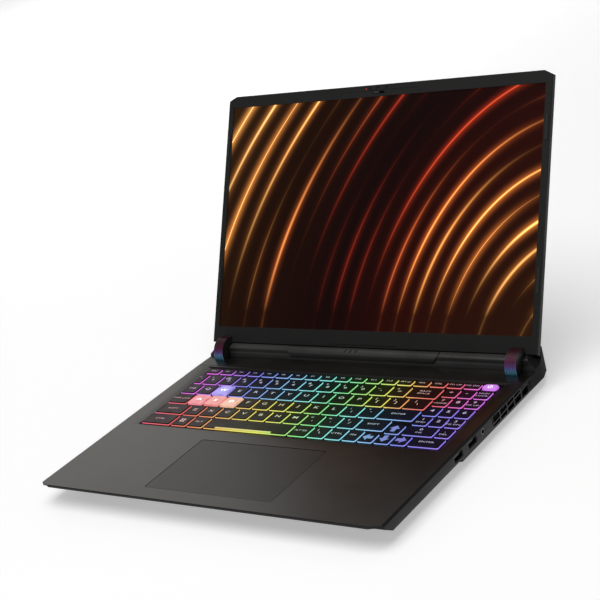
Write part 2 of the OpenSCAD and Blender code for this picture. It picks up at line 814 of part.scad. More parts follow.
module fan_impeller_right() {
  color("#3a3b40") base_frame() translate([fan_x, fan_y, fan_z]) fan_impeller();
}

module fan_impeller_left() {
  color("#3a3b40") base_frame() translate([-fan_x, fan_y, fan_z]) mirror([1, 0, 0]) fan_impeller();
}

pipe_z = board_z + board_t + 1.6 + 1;
sink_x0 = 88;
sink_y = [hinge_y + 12, body_d - 6];
fin_pitch = 2.6;
fins = floor((hinge_x - 12 - sink_x0) / fin_pitch);
sink_x = [sink_x0, sink_x0 + fins * fin_pitch];

module heat_pipes() {
  y = pipe_y;
  leg = sink_x0 + 10;
  z = [pipe_z, pipe_z + 1.2];
  color("#b8734a") base_frame() difference() {
    union() {
      block([-22, 46], [board_y0 + 42, board_y0 + 70], [pipe_z - 1, pipe_z]);
      for (i = [0 : 1]) {
        both_sides() block([0, leg + 6], [y + i * 8, y + 6 + i * 8], z);
        block([-8 + i * 30, -2 + i * 30], [board_y0 + 44, y + 4], z);
      }
      both_sides() {
        block([leg, leg + 6], [y, sink_y[0] + 8], z);
        block([sink_x[0] + 2, sink_x[1] - 3.8], [sink_y[0] + 2, sink_y[0] + 8], z);
      }
    }
    for (p = screw_places) translate([p[0], p[1], -20])
      cylinder(h = 30, r = boss_r + 0.3, $fn = 32);
  }
}

module heat_sinks() {
  top = pipe_z;
  color("#8c8f93") base_frame() both_sides() {
    for (i = [0 : fins - 1])
      translate([sink_x[0] + i * fin_pitch, 0, 0]) block([0, 0.5], sink_y, [fan_z, top - 0.4]);
    block(sink_x, sink_y, [top - 0.4, top]);
  }
}

module ssd_module() {
  x = 2 - board_half;
  z = board_z - 2.4;
  color("#1d4a34") base_frame() {
    block([x, x + 80], [board_y0 + 2, board_y0 + 24], [z, z + 0.8]);
    for (i = [0 : 2]) translate([x + 6 + i * 22, 0, 0])
      block([0, 16], [board_y0 + 5, board_y0 + 21], [z - 1.4, z]);
    block([x + 80, x + 84], [board_y0 + 1, board_y0 + 25], [z - 0.4, board_z]);
  }
}

module memory_modules() {
  color("#16503a") base_frame() for (i = [0 : 1]) {
    z = board_z - 1.7 - i * 2.2;
    y = board_y0 + 30;
    block([-34.8, 34.8], [y + 0.1, y + 30], [z, z + 1]);
    for (k = [0 : 3]) block([-31 + k * 16, -19 + k * 16], [y + 8, y + 24], [z - 0.8, z]);
    if (i == 0) both_sides() block([35, 38], [y, y + 30], [z - 3, board_z]);
  }
}

module wireless_card() {
  x = board_half - 18;
  y = board_y0 + 64;
  color("#20604a") base_frame() {
    block([x - 30, x], [y + 1, y + 23], [board_z - 2.2, board_z - 1.4]);
    block([x - 26, x - 6], [y + 4, y + 19], [board_z - 3.4, board_z - 2.2]);
    block([x, x + 4], [y, y + 24], [board_z - 2.6, board_z]);
  }
}

module speakers() {
  color("#191a1c") base_frame() both_sides() difference() {
    block([half_w - speaker_inset, half_w - 25], speaker_y, [floor_z + 0.3, floor_z + 7]);
    block([half_w - 60, half_w - 29], [speaker_y[0] + 4, speaker_y[1] - 4], [floor_z - 1, floor_z + 1.6]);
  }
}

// ---------- sockets ----------

module usb_socket(w, h, l) {
  translate([-l, -w / 2, -h / 2]) difference() {
    cube([l, w, h]);
    translate([1, 0.4, 0.4]) cube([l, w - 0.8, h - 0.8]);
  }
  translate([-l + 0.5, -w / 2 + 1.2, -0.2]) cube([l - 2, w - 2.4, 1.4]);
}

module usb_sockets() {
  color("#b4b6ba") base_frame() both_sides()
    translate([half_w - 0.6, usb_y[1], port_z]) usb_socket(usb_w - 0.3, usb_h - 0.3, usb_l);
  color("#b4b6ba") base_frame()
    translate([half_w - 0.6, usb_y[0], port_z]) usb_socket(usb_w - 0.3, usb_h - 0.3, usb_l);
}

module usb_c_shell() {
  difference() {
    translate([-8, -4.47, -1.58]) cube([8, 8.94, 3.16]);
    translate([-7, -4.17, -1.28]) cube([8, 8.34, 2.56]);
  }
  translate([-7.5, -3.3, -0.35]) cube([6.5, 6.6, 0.7]);
}

module usb_c_sockets() {
  color("#9fa1a5") base_frame() {
    translate([-half_w + 0.6, usb_y[0], port_z]) mirror([1, 0, 0]) usb_c_shell();
    translate([rear_c_x, body_d - 0.5, rear_port_z]) rotate([0, 0, 90]) usb_c_shell();
  }
}

module audio_jack() {
  color("#2a2b2e") base_frame() translate([half_w - 0.3, jack_y, port_z]) difference() {
    union() {
      rotate([0, -90, 0]) cylinder(h = 3.2, r = 2.8, $fn = 48);
      block([-12.3, -2.4], [-3, 3], [-2.8, 2.8]);
    }
    translate([-12, 0, 0]) rotate([0, 90, 0]) cylinder(h = 13, r = jack_r, $fn = 48);
  }
}

module ethernet_socket() {
  y0 = body_d - 15;
  z = rear_port_z;
  color("#3a3b3e") base_frame() difference() {
    block([rj_x - 7, rj_x + 7], [y0, body_d - 1.2], [z - 4.4, z + 4.4]);
    block([rj_x - rj_w / 2, rj_x + rj_w / 2], [y0 + 1.2, body_d], [z - rj_h / 2, z + rj_h / 2]);
  }
}

module hdmi_socket() {
  y = body_d - 0.5;
  z = rear_port_z;
  color("#a9abb0") base_frame() translate([hdmi_x, y, z]) rotate([0, 0, 90]) {
    usb_socket(15, 5.6, 11);
  }
}

module power_inlet() {
  y0 = body_d - 12;
  z = rear_port_z;
  color("#1e1f21") base_frame() difference() {
    block([dc_x - dc_w / 2 - 0.8, dc_x + dc_w / 2 + 0.8], [y0, body_d - 0.4],
      [z - dc_h / 2 - 0.8, z + dc_h / 2 + 0.8]);
    block([dc_x - dc_w / 2, dc_x + dc_w / 2], [y0 + 1.5, body_d], [z - dc_h / 2, z + dc_h / 2]);
  }
}

// ---------- hinge ----------

pin_x0 = hinge_x - hinge_pocket_w / 2 + 0.8;
pin_x1 = hinge_x + hinge_pocket_w / 2 - 0.8;
knuckle_x = pin_x0 + 5;
knuckle_r = 4.6;
cheek_t = 0.8;
cheek_clear = 0.4;

module barrel(x0, x1, r) {
  translate([x0, 0, 0]) rotate([0, 90, 0]) cylinder(h = x1 - x0, r = r, $fn = 64);
}

module hinge_pins() {
  color("#9a9ca0") base_frame() translate([0, hinge_y, hinge_z]) both_sides()
    barrel(pin_x0, pin_x1, pin_r);
}

module hinge_brackets() {
  x = hinge_x - hinge_pocket_w / 2;
  foot = bracket_z - hinge_z - 1.6;
  color("#6d6f73") base_frame() translate([0, hinge_y, hinge_z]) both_sides() difference() {
    union() {
      barrel(x + 0.2, knuckle_x - 0.2, knuckle_r);
      block([x - 2.8, x + 0.2], [-2.1, 2.8], [foot, -0.7]);
      block([x - 30, x - 0.4], [-30, 2.8], [foot, foot + 1.6]);
    }
    barrel(x - 10, knuckle_x + 1, pin_r + pin_clear);
    for (p = bracket_screws) translate([x - p[0], p[1], foot - 1])
      cylinder(h = 4, r = 1.2, $fn = 32);
  }
}

arm_foot_x = hinge_x - 55;
arm_foot_y = [12, 20.4];

module hinge_arms() {
  z = [lid_wall - lid_back, lid_wall - lid_back + 1.8];
  color("#77797d") lid_frame() both_sides() difference() {
    union() {
      barrel(knuckle_x, pin_x1, knuckle_r);
      block([knuckle_x, pin_x1], [2, arm_foot_y[1]], z);
      block([arm_foot_x, pin_x1], arm_foot_y, z);
    }
    barrel(knuckle_x - 1, pin_x1 + 1, pin_r + 0.02);
    for (x = [arm_foot_x + 6, arm_foot_x + 24, arm_foot_x + 42])
      translate([x, 16, -5]) cylinder(h = 5, r = 1.4, $fn = 32);
  }
}

// Band round the hinge axis, from the bezel down into the deck, with fine ribs and a cheek
// at each end
module hinge_cover() {
  r = hinge_cover_r;
  w = hinge_cover_w;
  rib_d = 0.35;
  ribs = 6;
  rib_pitch = (w - 1.6) / ribs;
  inner = knuckle_r + cheek_clear;
  intersection() {
    translate([hinge_x - w / 2, 0, 0]) rotate([90, 0, 90])
      rotate_extrude(angle = 200 - lid_tilt, $fn = 144) difference() {
        translate([inner, 0]) square([r - inner, w]);
        translate([0, cheek_t]) square([r - cover_band, w - 2 * cheek_t]);
        for (i = [0 : ribs - 1]) translate([r - rib_d, 0.55 + (i + 0.5) * rib_pitch])
          square([1, 0.5]);
      }
    block([0, body_w], [-3 * r, 3 * r], [bezel_z, 3 * r]);
  }
  translate([hinge_x, 0, 0]) along_x(w, [
    [r - cover_band, bezel_z], [r - 0.1, bezel_z], [r - 0.2, bezel_z + 1.2],
    [r - cover_band, bezel_z + 1.2]
  ]);
}

module hinge_cover_right() { color("#3f5f7e") lid_frame() hinge_cover(); }
module hinge_cover_left() { color("#3f5f7e") mirror([1, 0, 0]) lid_frame() hinge_cover(); }

// ---------- lid ----------

lid_corner_x = 8.5;
lid_corner_y = 4.2;
bezel_t = 1.1;

module lid_outline(inset) {
  x = half_w - inset;
  y0 = chin_edge + inset;
  y1 = lid_top - inset;
  polygon([
    [-x, y0], [x, y0], [x, y1 - lid_corner_y], [x - lid_corner_x, y1],
    [lid_corner_x - x, y1], [-x, y1 - lid_corner_y]
  ]);
}

module lid_cover() {
  x = half_w;
  b = lid_bevel;
  shelf = bezel_z - bezel_t;
  color("#242322") lid_frame() difference() {
    intersection() {
      translate([0, 0, -lid_back]) linear_extrude(shelf + lid_back) lid_outline(0);
      along_x(body_w, [
        [chin_edge, -lid_back + 1], [chin_edge + 1, -lid_back], [lid_top - b, -lid_back],
        [lid_top, b - lid_back], [lid_top, 3], [chin_edge, 3]
      ]);
      along_y(0, 2 * lid_top, [
        [-x, b - lid_back], [b - x, -lid_back], [x - b, -lid_back], [x, b - lid_back],
        [x, 3], [-x, 3]
      ]);
    }
    translate([0, 0, lid_wall - lid_back]) linear_extrude(20) lid_outline(1.6);
    both_sides() block([knuckle_x - 0.6, pin_x1 + 0.6], [0, 12], [lid_wall - lid_back, 3]);
    // Shallow character lines on the outside of the lid
    both_sides() translate([118, 0, 0]) rotate([0, 0, -14])
      block([0, 1.2], [-20, 2 * lid_top], [-lid_back - 1, 0.4 - lid_back]);
  }
}

module display_bezel() {
  z = bezel_z - bezel_t;
  y0 = screen_bottom;
  color("#1d1c1b") lid_frame() difference() {
    translate([0, 0, z]) linear_extrude(bezel_t) difference() {
      lid_outline(0.3);
      translate([-screen_w / 2, y0]) square([screen_w, screen_top - y0]);
      both_sides() translate([knuckle_x - 0.6, 0]) square([pin_x1 - knuckle_x + 1.2, chin_edge + 3]);
    }
    // Notch at the foot of the chin
    along_y(0, chin_edge + 2.4, [[-38, 3], [-37, z + 0.6], [37, z + 0.6], [38, 3]]);
    translate([0, 0, bezel_z - 0.35]) linear_extrude(2) polygon([
      [-43, lid_top - 9.2], [43, lid_top - 9.2], [41, lid_top - 5.3], [-41, lid_top - 5.3]
    ]);
    translate([0, webcam_y, z - 1]) cylinder(h = 4, r = 2.2, $fn = 48);
    for (x = [-9, 9]) translate([x, webcam_y, z - 1]) cylinder(h = 4, r = 1.2, $fn = 32);
    block([-shutter_slot / 2, shutter_slot / 2], [shutter_y - 1, shutter_y + 1], [z - 1, z + 4]);
  }
}

webcam_y = lid_top - 3.6;
shutter_y = lid_top - 7.4;
shutter_slot = shutter_travel + 9;
panel_t = 3.1;
driver_half = screen_w / 2 - 82.35;

module lcd_panel() {
  z = bezel_z - bezel_t - 0.1;
  w = screen_w + 5;
  color("#0b0909") lid_frame() {
    block([-w / 2, w / 2], [screen_bottom - 2.5, screen_top + 1.6], [z - panel_t, z]);
    block([-driver_half, driver_half], [screen_bottom - 9.5, screen_bottom - 2.5], [z - 2.4, z - 1]);
  }
}

module webcam_module() {
  z = bezel_z - bezel_t - 0.2;
  color("#15161a") lid_frame() difference() {
    union() {
      block([-45, 45], [webcam_y - 1.5, webcam_y + 1.4], [z - 1.2, z - 0.2]);
      translate([0, webcam_y, z - 0.3]) cylinder(h = 0.9, r = 1.9, $fn = 48);
      for (x = [-9, 9]) translate([x, webcam_y, z - 0.3]) cylinder(h = 0.9, r = 0.9, $fn = 32);
    }
    translate([0, webcam_y, z + 0.2]) cylinder(h = 1, r = 1.1, $fn = 32);
  }
}

module webcam_shutter() {
  z = bezel_z - bezel_t;
  tab = 6;
  x = -shutter_travel / 2;
  color("#3a3a3a") lid_frame() {
    block([x - tab / 2, x + tab / 2], [shutter_y - 0.7, shutter_y + 0.7], [z - 0.6, bezel_z + 0.35]);
  }
}

module lid_bumpers() {
  color("#0e0e0e") lid_frame() {
    both_sides() {
      block([half_w - 4.2, half_w - 1.8], [60, 82], [bezel_z, bezel_z + 0.6]);
      block([half_w - 4.2, half_w - 1.8], [lid_top - 60, lid_top - 38], [bezel_z, bezel_z + 0.6]);
    }
  }
}

module display_cable() {
  z = -3.6;
  color("#1a1a1c") lid_frame() {
    block([5 - arm_foot_x, -40], [chin_edge + 2.2, chin_edge + 5.4], [z, z + 0.6]);
    block([-60, -40], [chin_edge + 2.2, screen_bottom - 3], [z, z + 0.6]);
  }
}

module antennas() {
  color("#c8a24a") lid_frame() both_sides() difference() {
    block([62, 110], [lid_top - 8.4, lid_top - 2.4], [-lid_back + lid_wall, -lid_back + lid_wall + 0.5]);
    block([66, 106], [lid_top - 6, lid_top - 4.8], [-10, 10]);
  }
}

top_case();
bottom_cover();
rear_shroud();
keyboard_plate();
keyboard_backlight();
motherboard();
battery_pack();
fan_housing_left();
fan_housing_right();
fan_impeller_left();
fan_impeller_right();
heat_pipes();
heat_sinks();
ssd_module();
memory_modules();
wireless_card();
speakers();
touchpad();
touchpad_bracket();
hinge_brackets();
hinge_pins();
hinge_arms();
hinge_cover_left();
hinge_cover_right();
lid_cover();
display_bezel();
lcd_panel();
webcam_module();
webcam_shutter();
lid_bumpers();
display_cable();
antennas();
usb_sockets();
usb_c_sockets();
audio_jack();
ethernet_socket();
hdmi_socket();
power_inlet();
rubber_feet();
bottom_screws();
power_button();
key_w();
key_a();
key_s();
key_d();
key_space();
key_enter();
key_backspace();
key_tab();
key_shift_left();
key_shift_right();
key_enter_numpad();
keys_function_row();
keys_number_row();
keys_top_row();
keys_home_row();
keys_bottom_row();
keys_modifiers();
keys_arrows();
keys_numpad();
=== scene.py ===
"""Dresses the laptop computer's CAD frame: shells, keyboard, hinges, lid, screen and sockets."""

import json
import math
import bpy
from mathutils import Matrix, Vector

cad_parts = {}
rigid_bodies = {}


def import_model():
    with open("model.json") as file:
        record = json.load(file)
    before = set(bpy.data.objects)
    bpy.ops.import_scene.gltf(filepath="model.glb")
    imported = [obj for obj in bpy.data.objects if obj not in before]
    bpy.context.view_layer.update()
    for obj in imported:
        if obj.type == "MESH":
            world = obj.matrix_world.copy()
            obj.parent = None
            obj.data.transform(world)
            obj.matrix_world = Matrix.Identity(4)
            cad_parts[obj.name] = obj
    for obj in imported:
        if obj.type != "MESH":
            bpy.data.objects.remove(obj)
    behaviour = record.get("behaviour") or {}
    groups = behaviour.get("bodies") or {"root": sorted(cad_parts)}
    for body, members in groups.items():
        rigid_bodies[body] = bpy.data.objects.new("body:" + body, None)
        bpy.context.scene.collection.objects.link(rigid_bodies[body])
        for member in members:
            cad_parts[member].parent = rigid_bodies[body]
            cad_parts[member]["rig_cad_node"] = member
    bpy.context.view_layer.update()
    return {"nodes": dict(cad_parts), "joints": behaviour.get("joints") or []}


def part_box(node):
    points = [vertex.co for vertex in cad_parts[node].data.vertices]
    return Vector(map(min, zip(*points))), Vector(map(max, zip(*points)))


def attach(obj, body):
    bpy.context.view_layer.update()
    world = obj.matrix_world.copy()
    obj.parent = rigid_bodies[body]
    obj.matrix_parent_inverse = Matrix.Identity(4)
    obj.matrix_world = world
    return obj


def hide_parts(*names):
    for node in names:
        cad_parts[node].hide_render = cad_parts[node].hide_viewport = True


bl_info = {
    "name": "Laptop Computer Dresser",
    "version": (1, 0, 0),
    "blender": (4, 5, 0),
    "location": "View3D > Sidebar > Laptop",
    "description": "Builds the visible laptop round its CAD frame, one operator for each group of pieces",
    "category": "Object",
}

import bmesh
import bpy
from bpy.props import FloatProperty, FloatVectorProperty, IntProperty, PointerProperty
from mathutils import Matrix, Vector

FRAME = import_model()
MM = 0.001

BASE = "base"
LID = "lid"
# Legends from left to right. A | parts a shifted sign from the plain one, a / an upper line from a lower.
KEYBOARD_ROWS = {
    "keys_function_row": [
        "ESC", "F1", "F2", "F3", "F4", "F5", "F6", "F7", "F8", "F9", "F10", "F11", "F12",
        "PRT SC", "INS", "DEL", "PG UP", "PG DN",
    ],
    "keys_number_row": [
        "~|`", "!|1", "@|2", "#|3", "$|4", "%|5", "^|6", "&|7", "*|8", "(|9", ")|0", "_|-", "+|=",
    ],
    "keys_top_row": ["Q", "E", "R", "T", "Y", "U", "I", "O", "P", "{|[", "}|]", "||\\"],
    "keys_home_row": ["CAPS LOCK", "F", "G", "H", "J", "K", "L", ":|;", "\"|'"],
    "keys_bottom_row": ["Z", "X", "C", "V", "B", "N", "M", "<|,", ">|.", "?|/"],
    "keys_modifiers": ["CTRL", "DOTS", "ALT", "ALT GR", "||\\", "CTRL", "FN"],
    "keys_arrows": ["UP", "LEFT", "DOWN", "RIGHT"],
    "keys_numpad": [
        "+", "-", "NUM/LOCK", "7/HOME", "8", "9/PG UP", "4", "5", "6", "1/END", "2", "3/PG DN",
        "0/INS", "./DEL",
    ],
    "key_w": ["W"],
    "key_a": ["A"],
    "key_s": ["S"],
    "key_d": ["D"],
    "key_space": [""],
    "key_enter": ["ENTER"],
    "key_backspace": ["BACK/SPACE"],
    "key_tab": ["TAB"],
    "key_shift_left": ["SHIFT"],
    "key_shift_right": ["SHIFT"],
    "key_enter_numpad": ["ENTER"],
    "power_button": ["POWER"],
}
# Hue and depth of colour of each milky cap
LIT_CAPS = {
    "key_w": (0.685, 0.7), "key_a": (0.985, 0.76), "key_s": (0.01, 0.76), "key_d": (0.055, 0.7),
    "power_button": (0.79, 0.92),
}


# ---------- measures taken from the frame ----------

DECK_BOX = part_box("top_case")
DECK_TOP = DECK_BOX[1].z
HALF_WIDTH = DECK_BOX[1].x
LID_JOINT = next(j for j in FRAME["joints"] if j["name"] == "lid_hinge")
HINGE = Vector(LID_JOINT["pos_m"])
# The open lid stands at 60 degrees to the table. Its own frame has Y up the lid, Z out of the screen.
LID_TILT = math.radians(60)
OUT_OF_SCREEN = Vector((0, -math.sin(LID_TILT), math.cos(LID_TILT)))
LID_FRAME = Matrix.Translation(HINGE) @ Matrix.Rotation(LID_TILT, 4, "X")


# ---------- settings ----------


class LaptopShellSettings(bpy.types.PropertyGroup):
    """Finishes of the case"""

    deck_color: FloatVectorProperty(
        name="Deck", description="Anodised colour of the deck and side walls",
        subtype="COLOR", default=(0.122, 0.115, 0.105), min=0, max=1,
    )
    plastic_color: FloatVectorProperty(
        name="Plastic", description="Colour of the moulded tail and bottom",
        subtype="COLOR", default=(0.014, 0.0136, 0.013), min=0, max=1,
    )
    # The rim colour is painted shade on the deck's side walls and edges; the tail flank and the lid edge
    # use it too.
    rim_color: FloatVectorProperty(
        name="Rim", description="Colour of the dark rim round the deck",
        subtype="COLOR", default=(0.0085, 0.0083, 0.008), min=0, max=1,
    )
    bezel_color: FloatVectorProperty(
        name="Bezel", description="Colour of the frame round the screen",
        subtype="COLOR", default=(0.0125, 0.0123, 0.0118), min=0, max=1,
    )
    edge_round: FloatProperty(
        name="Edge rounding", description="Radius of the softened edges",
        subtype="DISTANCE", unit="LENGTH", default=0.35 * MM, min=0, max=1.5 * MM,
    )


class LaptopKeySettings(bpy.types.PropertyGroup):
    """Shape and light of the keys"""

    corner: FloatProperty(
        name="Cap corner", description="Corner radius of a key cap",
        subtype="DISTANCE", unit="LENGTH", default=1.3 * MM, min=0.2 * MM, max=3 * MM,
    )
    skirt: FloatProperty(
        name="Skirt height", description="Height of the lit skirt under the dark top",
        subtype="DISTANCE", unit="LENGTH", default=0.9 * MM, min=0.2 * MM, max=1.6 * MM,
    )
    dish: FloatProperty(
        name="Dish", description="How far the middle of a cap is hollowed",
        subtype="DISTANCE", unit="LENGTH", default=0.12 * MM, min=0, max=0.5 * MM,
    )
    letter: FloatProperty(
        name="Letter height", description="Height of a capital letter on a cap",
        subtype="DISTANCE", unit="LENGTH", default=4.6 * MM, min=1 * MM, max=7 * MM,
    )
    letter_stretch: FloatProperty(
        name="Letter stretch", description="Width of the lettering against a plain face",
        default=1.55, min=0.5, max=2.5,
    )
    glow: FloatProperty(
        name="Glow", description="Strength of the light in the skirts", default=0.76, min=0, max=20,
    )
    lit_cap: FloatProperty(
        name="Lit caps", description="Strength of the light in the milky caps",
        default=0.66, min=0, max=20,
    )
    lit_sign: FloatProperty(
        name="Lit signs", description="Strength of the white light in the milky caps' legends",
        default=0.9, min=0, max=20,
    )
    legend: FloatProperty(
        name="Legends", description="Strength of the light in the letters", default=0.5, min=0, max=20,
    )
    arrows: FloatProperty(
        name="Arrows", description="Strength of the light in the arrows", default=0.42, min=0, max=20,
    )
    bar: FloatProperty(
        name="Bar", description="Strength of the light in the space bar", default=0.55, min=0, max=20,
    )
    spill: FloatProperty(
        name="Spill", description="Share of the light that tints the cap tops",
        default=0.011, min=0, max=1,
    )
    cap_color: FloatVectorProperty(
        name="Cap", description="Colour of the key caps' tops",
        subtype="COLOR", default=(0.002, 0.002, 0.0022), min=0, max=1,
    )


class LaptopScreenSettings(bpy.types.PropertyGroup):
    """Picture on the screen"""

    light: FloatProperty(
        name="Light", description="Brightness of the picture", default=1.0, min=0, max=10,
    )
    arcs: IntProperty(
        name="Arcs", description="Number of arcs of light across the picture", default=21, min=3, max=40,
    )


class LaptopStageSettings(bpy.types.PropertyGroup):
    """Camera, floor and lights"""

    camera_place: FloatVectorProperty(
        name="Camera", description="Place of the camera", subtype="TRANSLATION", unit="LENGTH",
        default=(0.78627, -0.91905, 0.55104),
    )
    camera_turn: FloatVectorProperty(
        name="Camera turn", description="Turn of the camera about the three axes", subtype="EULER",
        unit="ROTATION", default=tuple(map(math.radians, (69.2668, 14.34, 35.232))),
    )
    lens: FloatProperty(
        name="Lens", description="Focal length on a 36 mm sensor", unit="CAMERA", default=90.09,
        min=10, max=300,
    )
    floor_color: FloatVectorProperty(
        name="Floor", description="Colour of the floor", subtype="COLOR", default=(0.86, 0.86, 0.86),
        min=0, max=1,
    )
    sky: FloatProperty(
        name="Sky", description="Strength of the even light from all round", default=0.2, min=0, max=5,
    )
    floor_lift: FloatProperty(
        name="Floor lift", description="Light that the floor gives off itself", default=0.4, min=0, max=2,
    )


# ---------- materials ----------

# Most of a noise lies between these values, which take the two ends of a change in gloss or in tone.
GLOSS_NOISE = (0.3, 0.7)
TONE_NOISE = (0.35, 0.65)


class Finish:
    """A node material with one principled shader, and short words for wiring it"""

    def __init__(self, name, color, roughness=0.5, metallic=0.0, **sockets):
        self.material = bpy.data.materials.new(name)
        self.material.use_nodes = True
        self.tree = self.material.node_tree
        self.shader = self.tree.nodes["Principled BSDF"]
        self.shader.inputs["Base Color"].default_value = (*color, 1)
        self.shader.inputs["Roughness"].default_value = roughness
        self.shader.inputs["Metallic"].default_value = metallic
        for socket, value in sockets.items():
            self.shader.inputs[socket.replace("_", " ")].default_value = value
        self.places = None

    def node(self, kind, **settings):
        """Adds a shader node"""
        made = self.tree.nodes.new("ShaderNode" + kind)
        for key, value in settings.items():
            setattr(made, key, value)
        return made

    def wire(self, source, target):
        self.tree.links.new(source, target)

    def place(self):
        """The point on the piece, at rest, in metres"""
        if self.places is None:
            self.places = self.node("TexCoord").outputs["Object"]
        return self.places

    def axis(self, name, source):
        """One coordinate of a point"""
        split = self.node("SeparateXYZ")
        self.wire(source, split.inputs[0])
        return split.outputs[name]

    def math(self, operation, a, b=None, c=None, clamp=False):
        """One step of arithmetic on numbers or on other nodes' values"""
        made = self.node("Math", operation=operation, use_clamp=clamp)
        for i, value in enumerate((a, b, c)):
            if value is None:
                continue
            if isinstance(value, (int, float)):
                made.inputs[i].default_value = value
            else:
                self.wire(value, made.inputs[i])
        return made.outputs[0]

    def vector(self, operation, a, b):
        """Adds two colours, or scales one by a value"""
        made = self.node("VectorMath", operation=operation)
        self.wire(a, made.inputs[0])
        self.wire(b, made.inputs["Scale" if operation == "SCALE" else 1])
        return made.outputs[0]

    def noise(self, scale, detail=2.0, roughness=0.5, stretch=(1, 1, 1)):
        """Smooth noise over the piece, its values round 0.5"""
        made = self.node("TexNoise")
        made.inputs["Scale"].default_value = scale
        made.inputs["Detail"].default_value = detail
        made.inputs["Roughness"].default_value = roughness
        source = self.place()
        if stretch != (1, 1, 1):
            mapping = self.node("Mapping")
            mapping.inputs["Scale"].default_value = stretch
            self.wire(source, mapping.inputs["Vector"])
            source = mapping.outputs["Vector"]
        self.wire(source, made.inputs["Vector"])
        return made.outputs["Fac"]

    def ramp(self, source, stops):
        """Band of colours over values from 0 to 1"""
        made = self.node("ValToRGB")
        elements = made.color_ramp.elements
        while len(elements) > 1:
            elements.remove(elements[-1])
        for i, (at, color) in enumerate(stops):
            element = elements[0] if i == 0 else elements.new(at)
            element.position = at
            element.color = (*color, 1)
        self.wire(source, made.inputs["Fac"])
        return made.outputs["Color"]

    def spread(self, source, low, high, out_low=0.0, out_high=1.0):
        """Maps one range of values onto another"""
        made = self.node("MapRange")
        for name, value in (
            ("From Min", low), ("From Max", high), ("To Min", out_low), ("To Max", out_high),
        ):
            made.inputs[name].default_value = value
        self.wire(source, made.inputs["Value"])
        return made.outputs["Result"]

    def vary_roughness(self, source, low, high):
        self.wire(self.spread(source, *GLOSS_NOISE, low, high), self.shader.inputs["Roughness"])

    def vary_color(self, source, dark, light):
        tones = list(zip(TONE_NOISE, (dark, light)))
        self.wire(self.ramp(source, tones), self.shader.inputs["Base Color"])

    def shine(self, color, strength):
        """Makes the surface give off light, of one colour or of another node's"""
        socket = self.shader.inputs["Emission Color"]
        if isinstance(color, tuple):
            socket.default_value = (*color, 1)
        else:
            self.wire(color, socket)
        self.shader.inputs["Emission Strength"].default_value = strength

    def bump(self, source, depth, strength=1.0):
        made = self.node("Bump")
        made.inputs["Distance"].default_value = depth
        made.inputs["Strength"].default_value = strength
        self.wire(source, made.inputs["Height"])
        self.wire(made.outputs["Normal"], self.shader.inputs["Normal"])


def scaled(color, factor):
    """A colour made lighter or darker"""
    return tuple(min(1.0, c * factor) for c in color)


def grained(name, color, roughness, grain=0.02 * MM, scale=2600, metallic=0.0, spread=0.08, **sockets):
    """Moulded, blasted or painted surface: fine even grain with slow changes of gloss"""
    finish = Finish(name, color, roughness, metallic, **sockets)
    slow = finish.noise(26, 3)
    finish.vary_roughness(slow, roughness - spread, roughness + spread)
    finish.vary_color(slow, scaled(color, 0.93), scaled(color, 1.07))
    finish.bump(finish.noise(scale, 2, 0.6), grain, 0.5)
    return finish.material


def brushed(name, color, roughness=0.3, along="X"):
    """Metal with fine lines along one direction"""
    finish = Finish(name, color, roughness, 1.0)
    stretch = tuple(20 if axis == along else 900 for axis in "XYZ")
    lines = finish.noise(1.0, 3, 0.6, stretch)
    finish.vary_roughness(lines, roughness - 0.08, roughness + 0.1)
    finish.vary_color(lines, scaled(color, 0.85), scaled(color, 1.1))
    finish.bump(lines, 0.02 * MM, 0.4)
    return finish.material


def paint(node, material):
    """Gives a CAD node one material"""
    piece = FRAME["nodes"][node]
    piece.data.materials.clear()
    piece.data.materials.append(material)
    for polygon in piece.data.polygons:
        polygon.material_index = 0


def paint_faces(node, material, chosen):
    """Gives another material to the faces of a CAD node that a test on centre and normal picks"""
    mesh = FRAME["nodes"][node].data
    mesh.materials.append(material)
    for polygon in mesh.polygons:
        if chosen(polygon.center, polygon.normal):
            polygon.material_index = len(mesh.materials) - 1


def soften(node, width, segments, angle):
    """Rounds the sharp edges of a CAD node as it is shown"""
    piece = FRAME["nodes"][node]
    weld = piece.modifiers.new("Join corners", "WELD")
    weld.merge_threshold = 0.005 * MM
    bevel = piece.modifiers.new("Edge rounding", "BEVEL")
    bevel.width = width
    bevel.segments = segments
    bevel.limit_method = "ANGLE"
    bevel.angle_limit = math.radians(angle)
    bevel.use_clamp_overlap = True
    # Large faces keep their own direction, so that only the rounding shades softly.
    flat = piece.modifiers.new("Flat faces", "WEIGHTED_NORMAL")
    flat.mode = "FACE_AREA"
    flat.weight = 95
    flat.keep_sharp = False
    smooth_by_angle(piece)


def dress(node, material, width, segments=2, angle=32):
    """Gives a CAD node one material and rounds its edges"""
    paint(node, material)
    soften(node, width, segments, angle)


def smooth_by_angle(piece, angle=38):
    """Smooths all faces, and on pieces that are not CAD nodes marks edges sharper than the angle"""
    mesh = piece.data
    mesh.polygons.foreach_set("use_smooth", [True] * len(mesh.polygons))
    if piece.get("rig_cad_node") is None:
        bm = bmesh.new()
        bm.from_mesh(mesh)
        for edge in bm.edges:
            if len(edge.link_faces) == 2 and edge.calc_face_angle(0) > math.radians(angle):
                edge.smooth = False
        bm.to_mesh(mesh)
        bm.free()


# ---------- mesh building ----------


def new_piece(name, bm, materials, body):
    """Turns a bmesh into a named piece that rides on a body"""
    mesh = bpy.data.meshes.new(name)
    bm.normal_update()
    bm.to_mesh(mesh)
    bm.free()
    for material in materials:
        mesh.materials.append(material)
    piece = bpy.data.objects.new(name, mesh)
    bpy.context.scene.collection.objects.link(piece)
    smooth_by_angle(piece)
    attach(piece, body)
    return piece


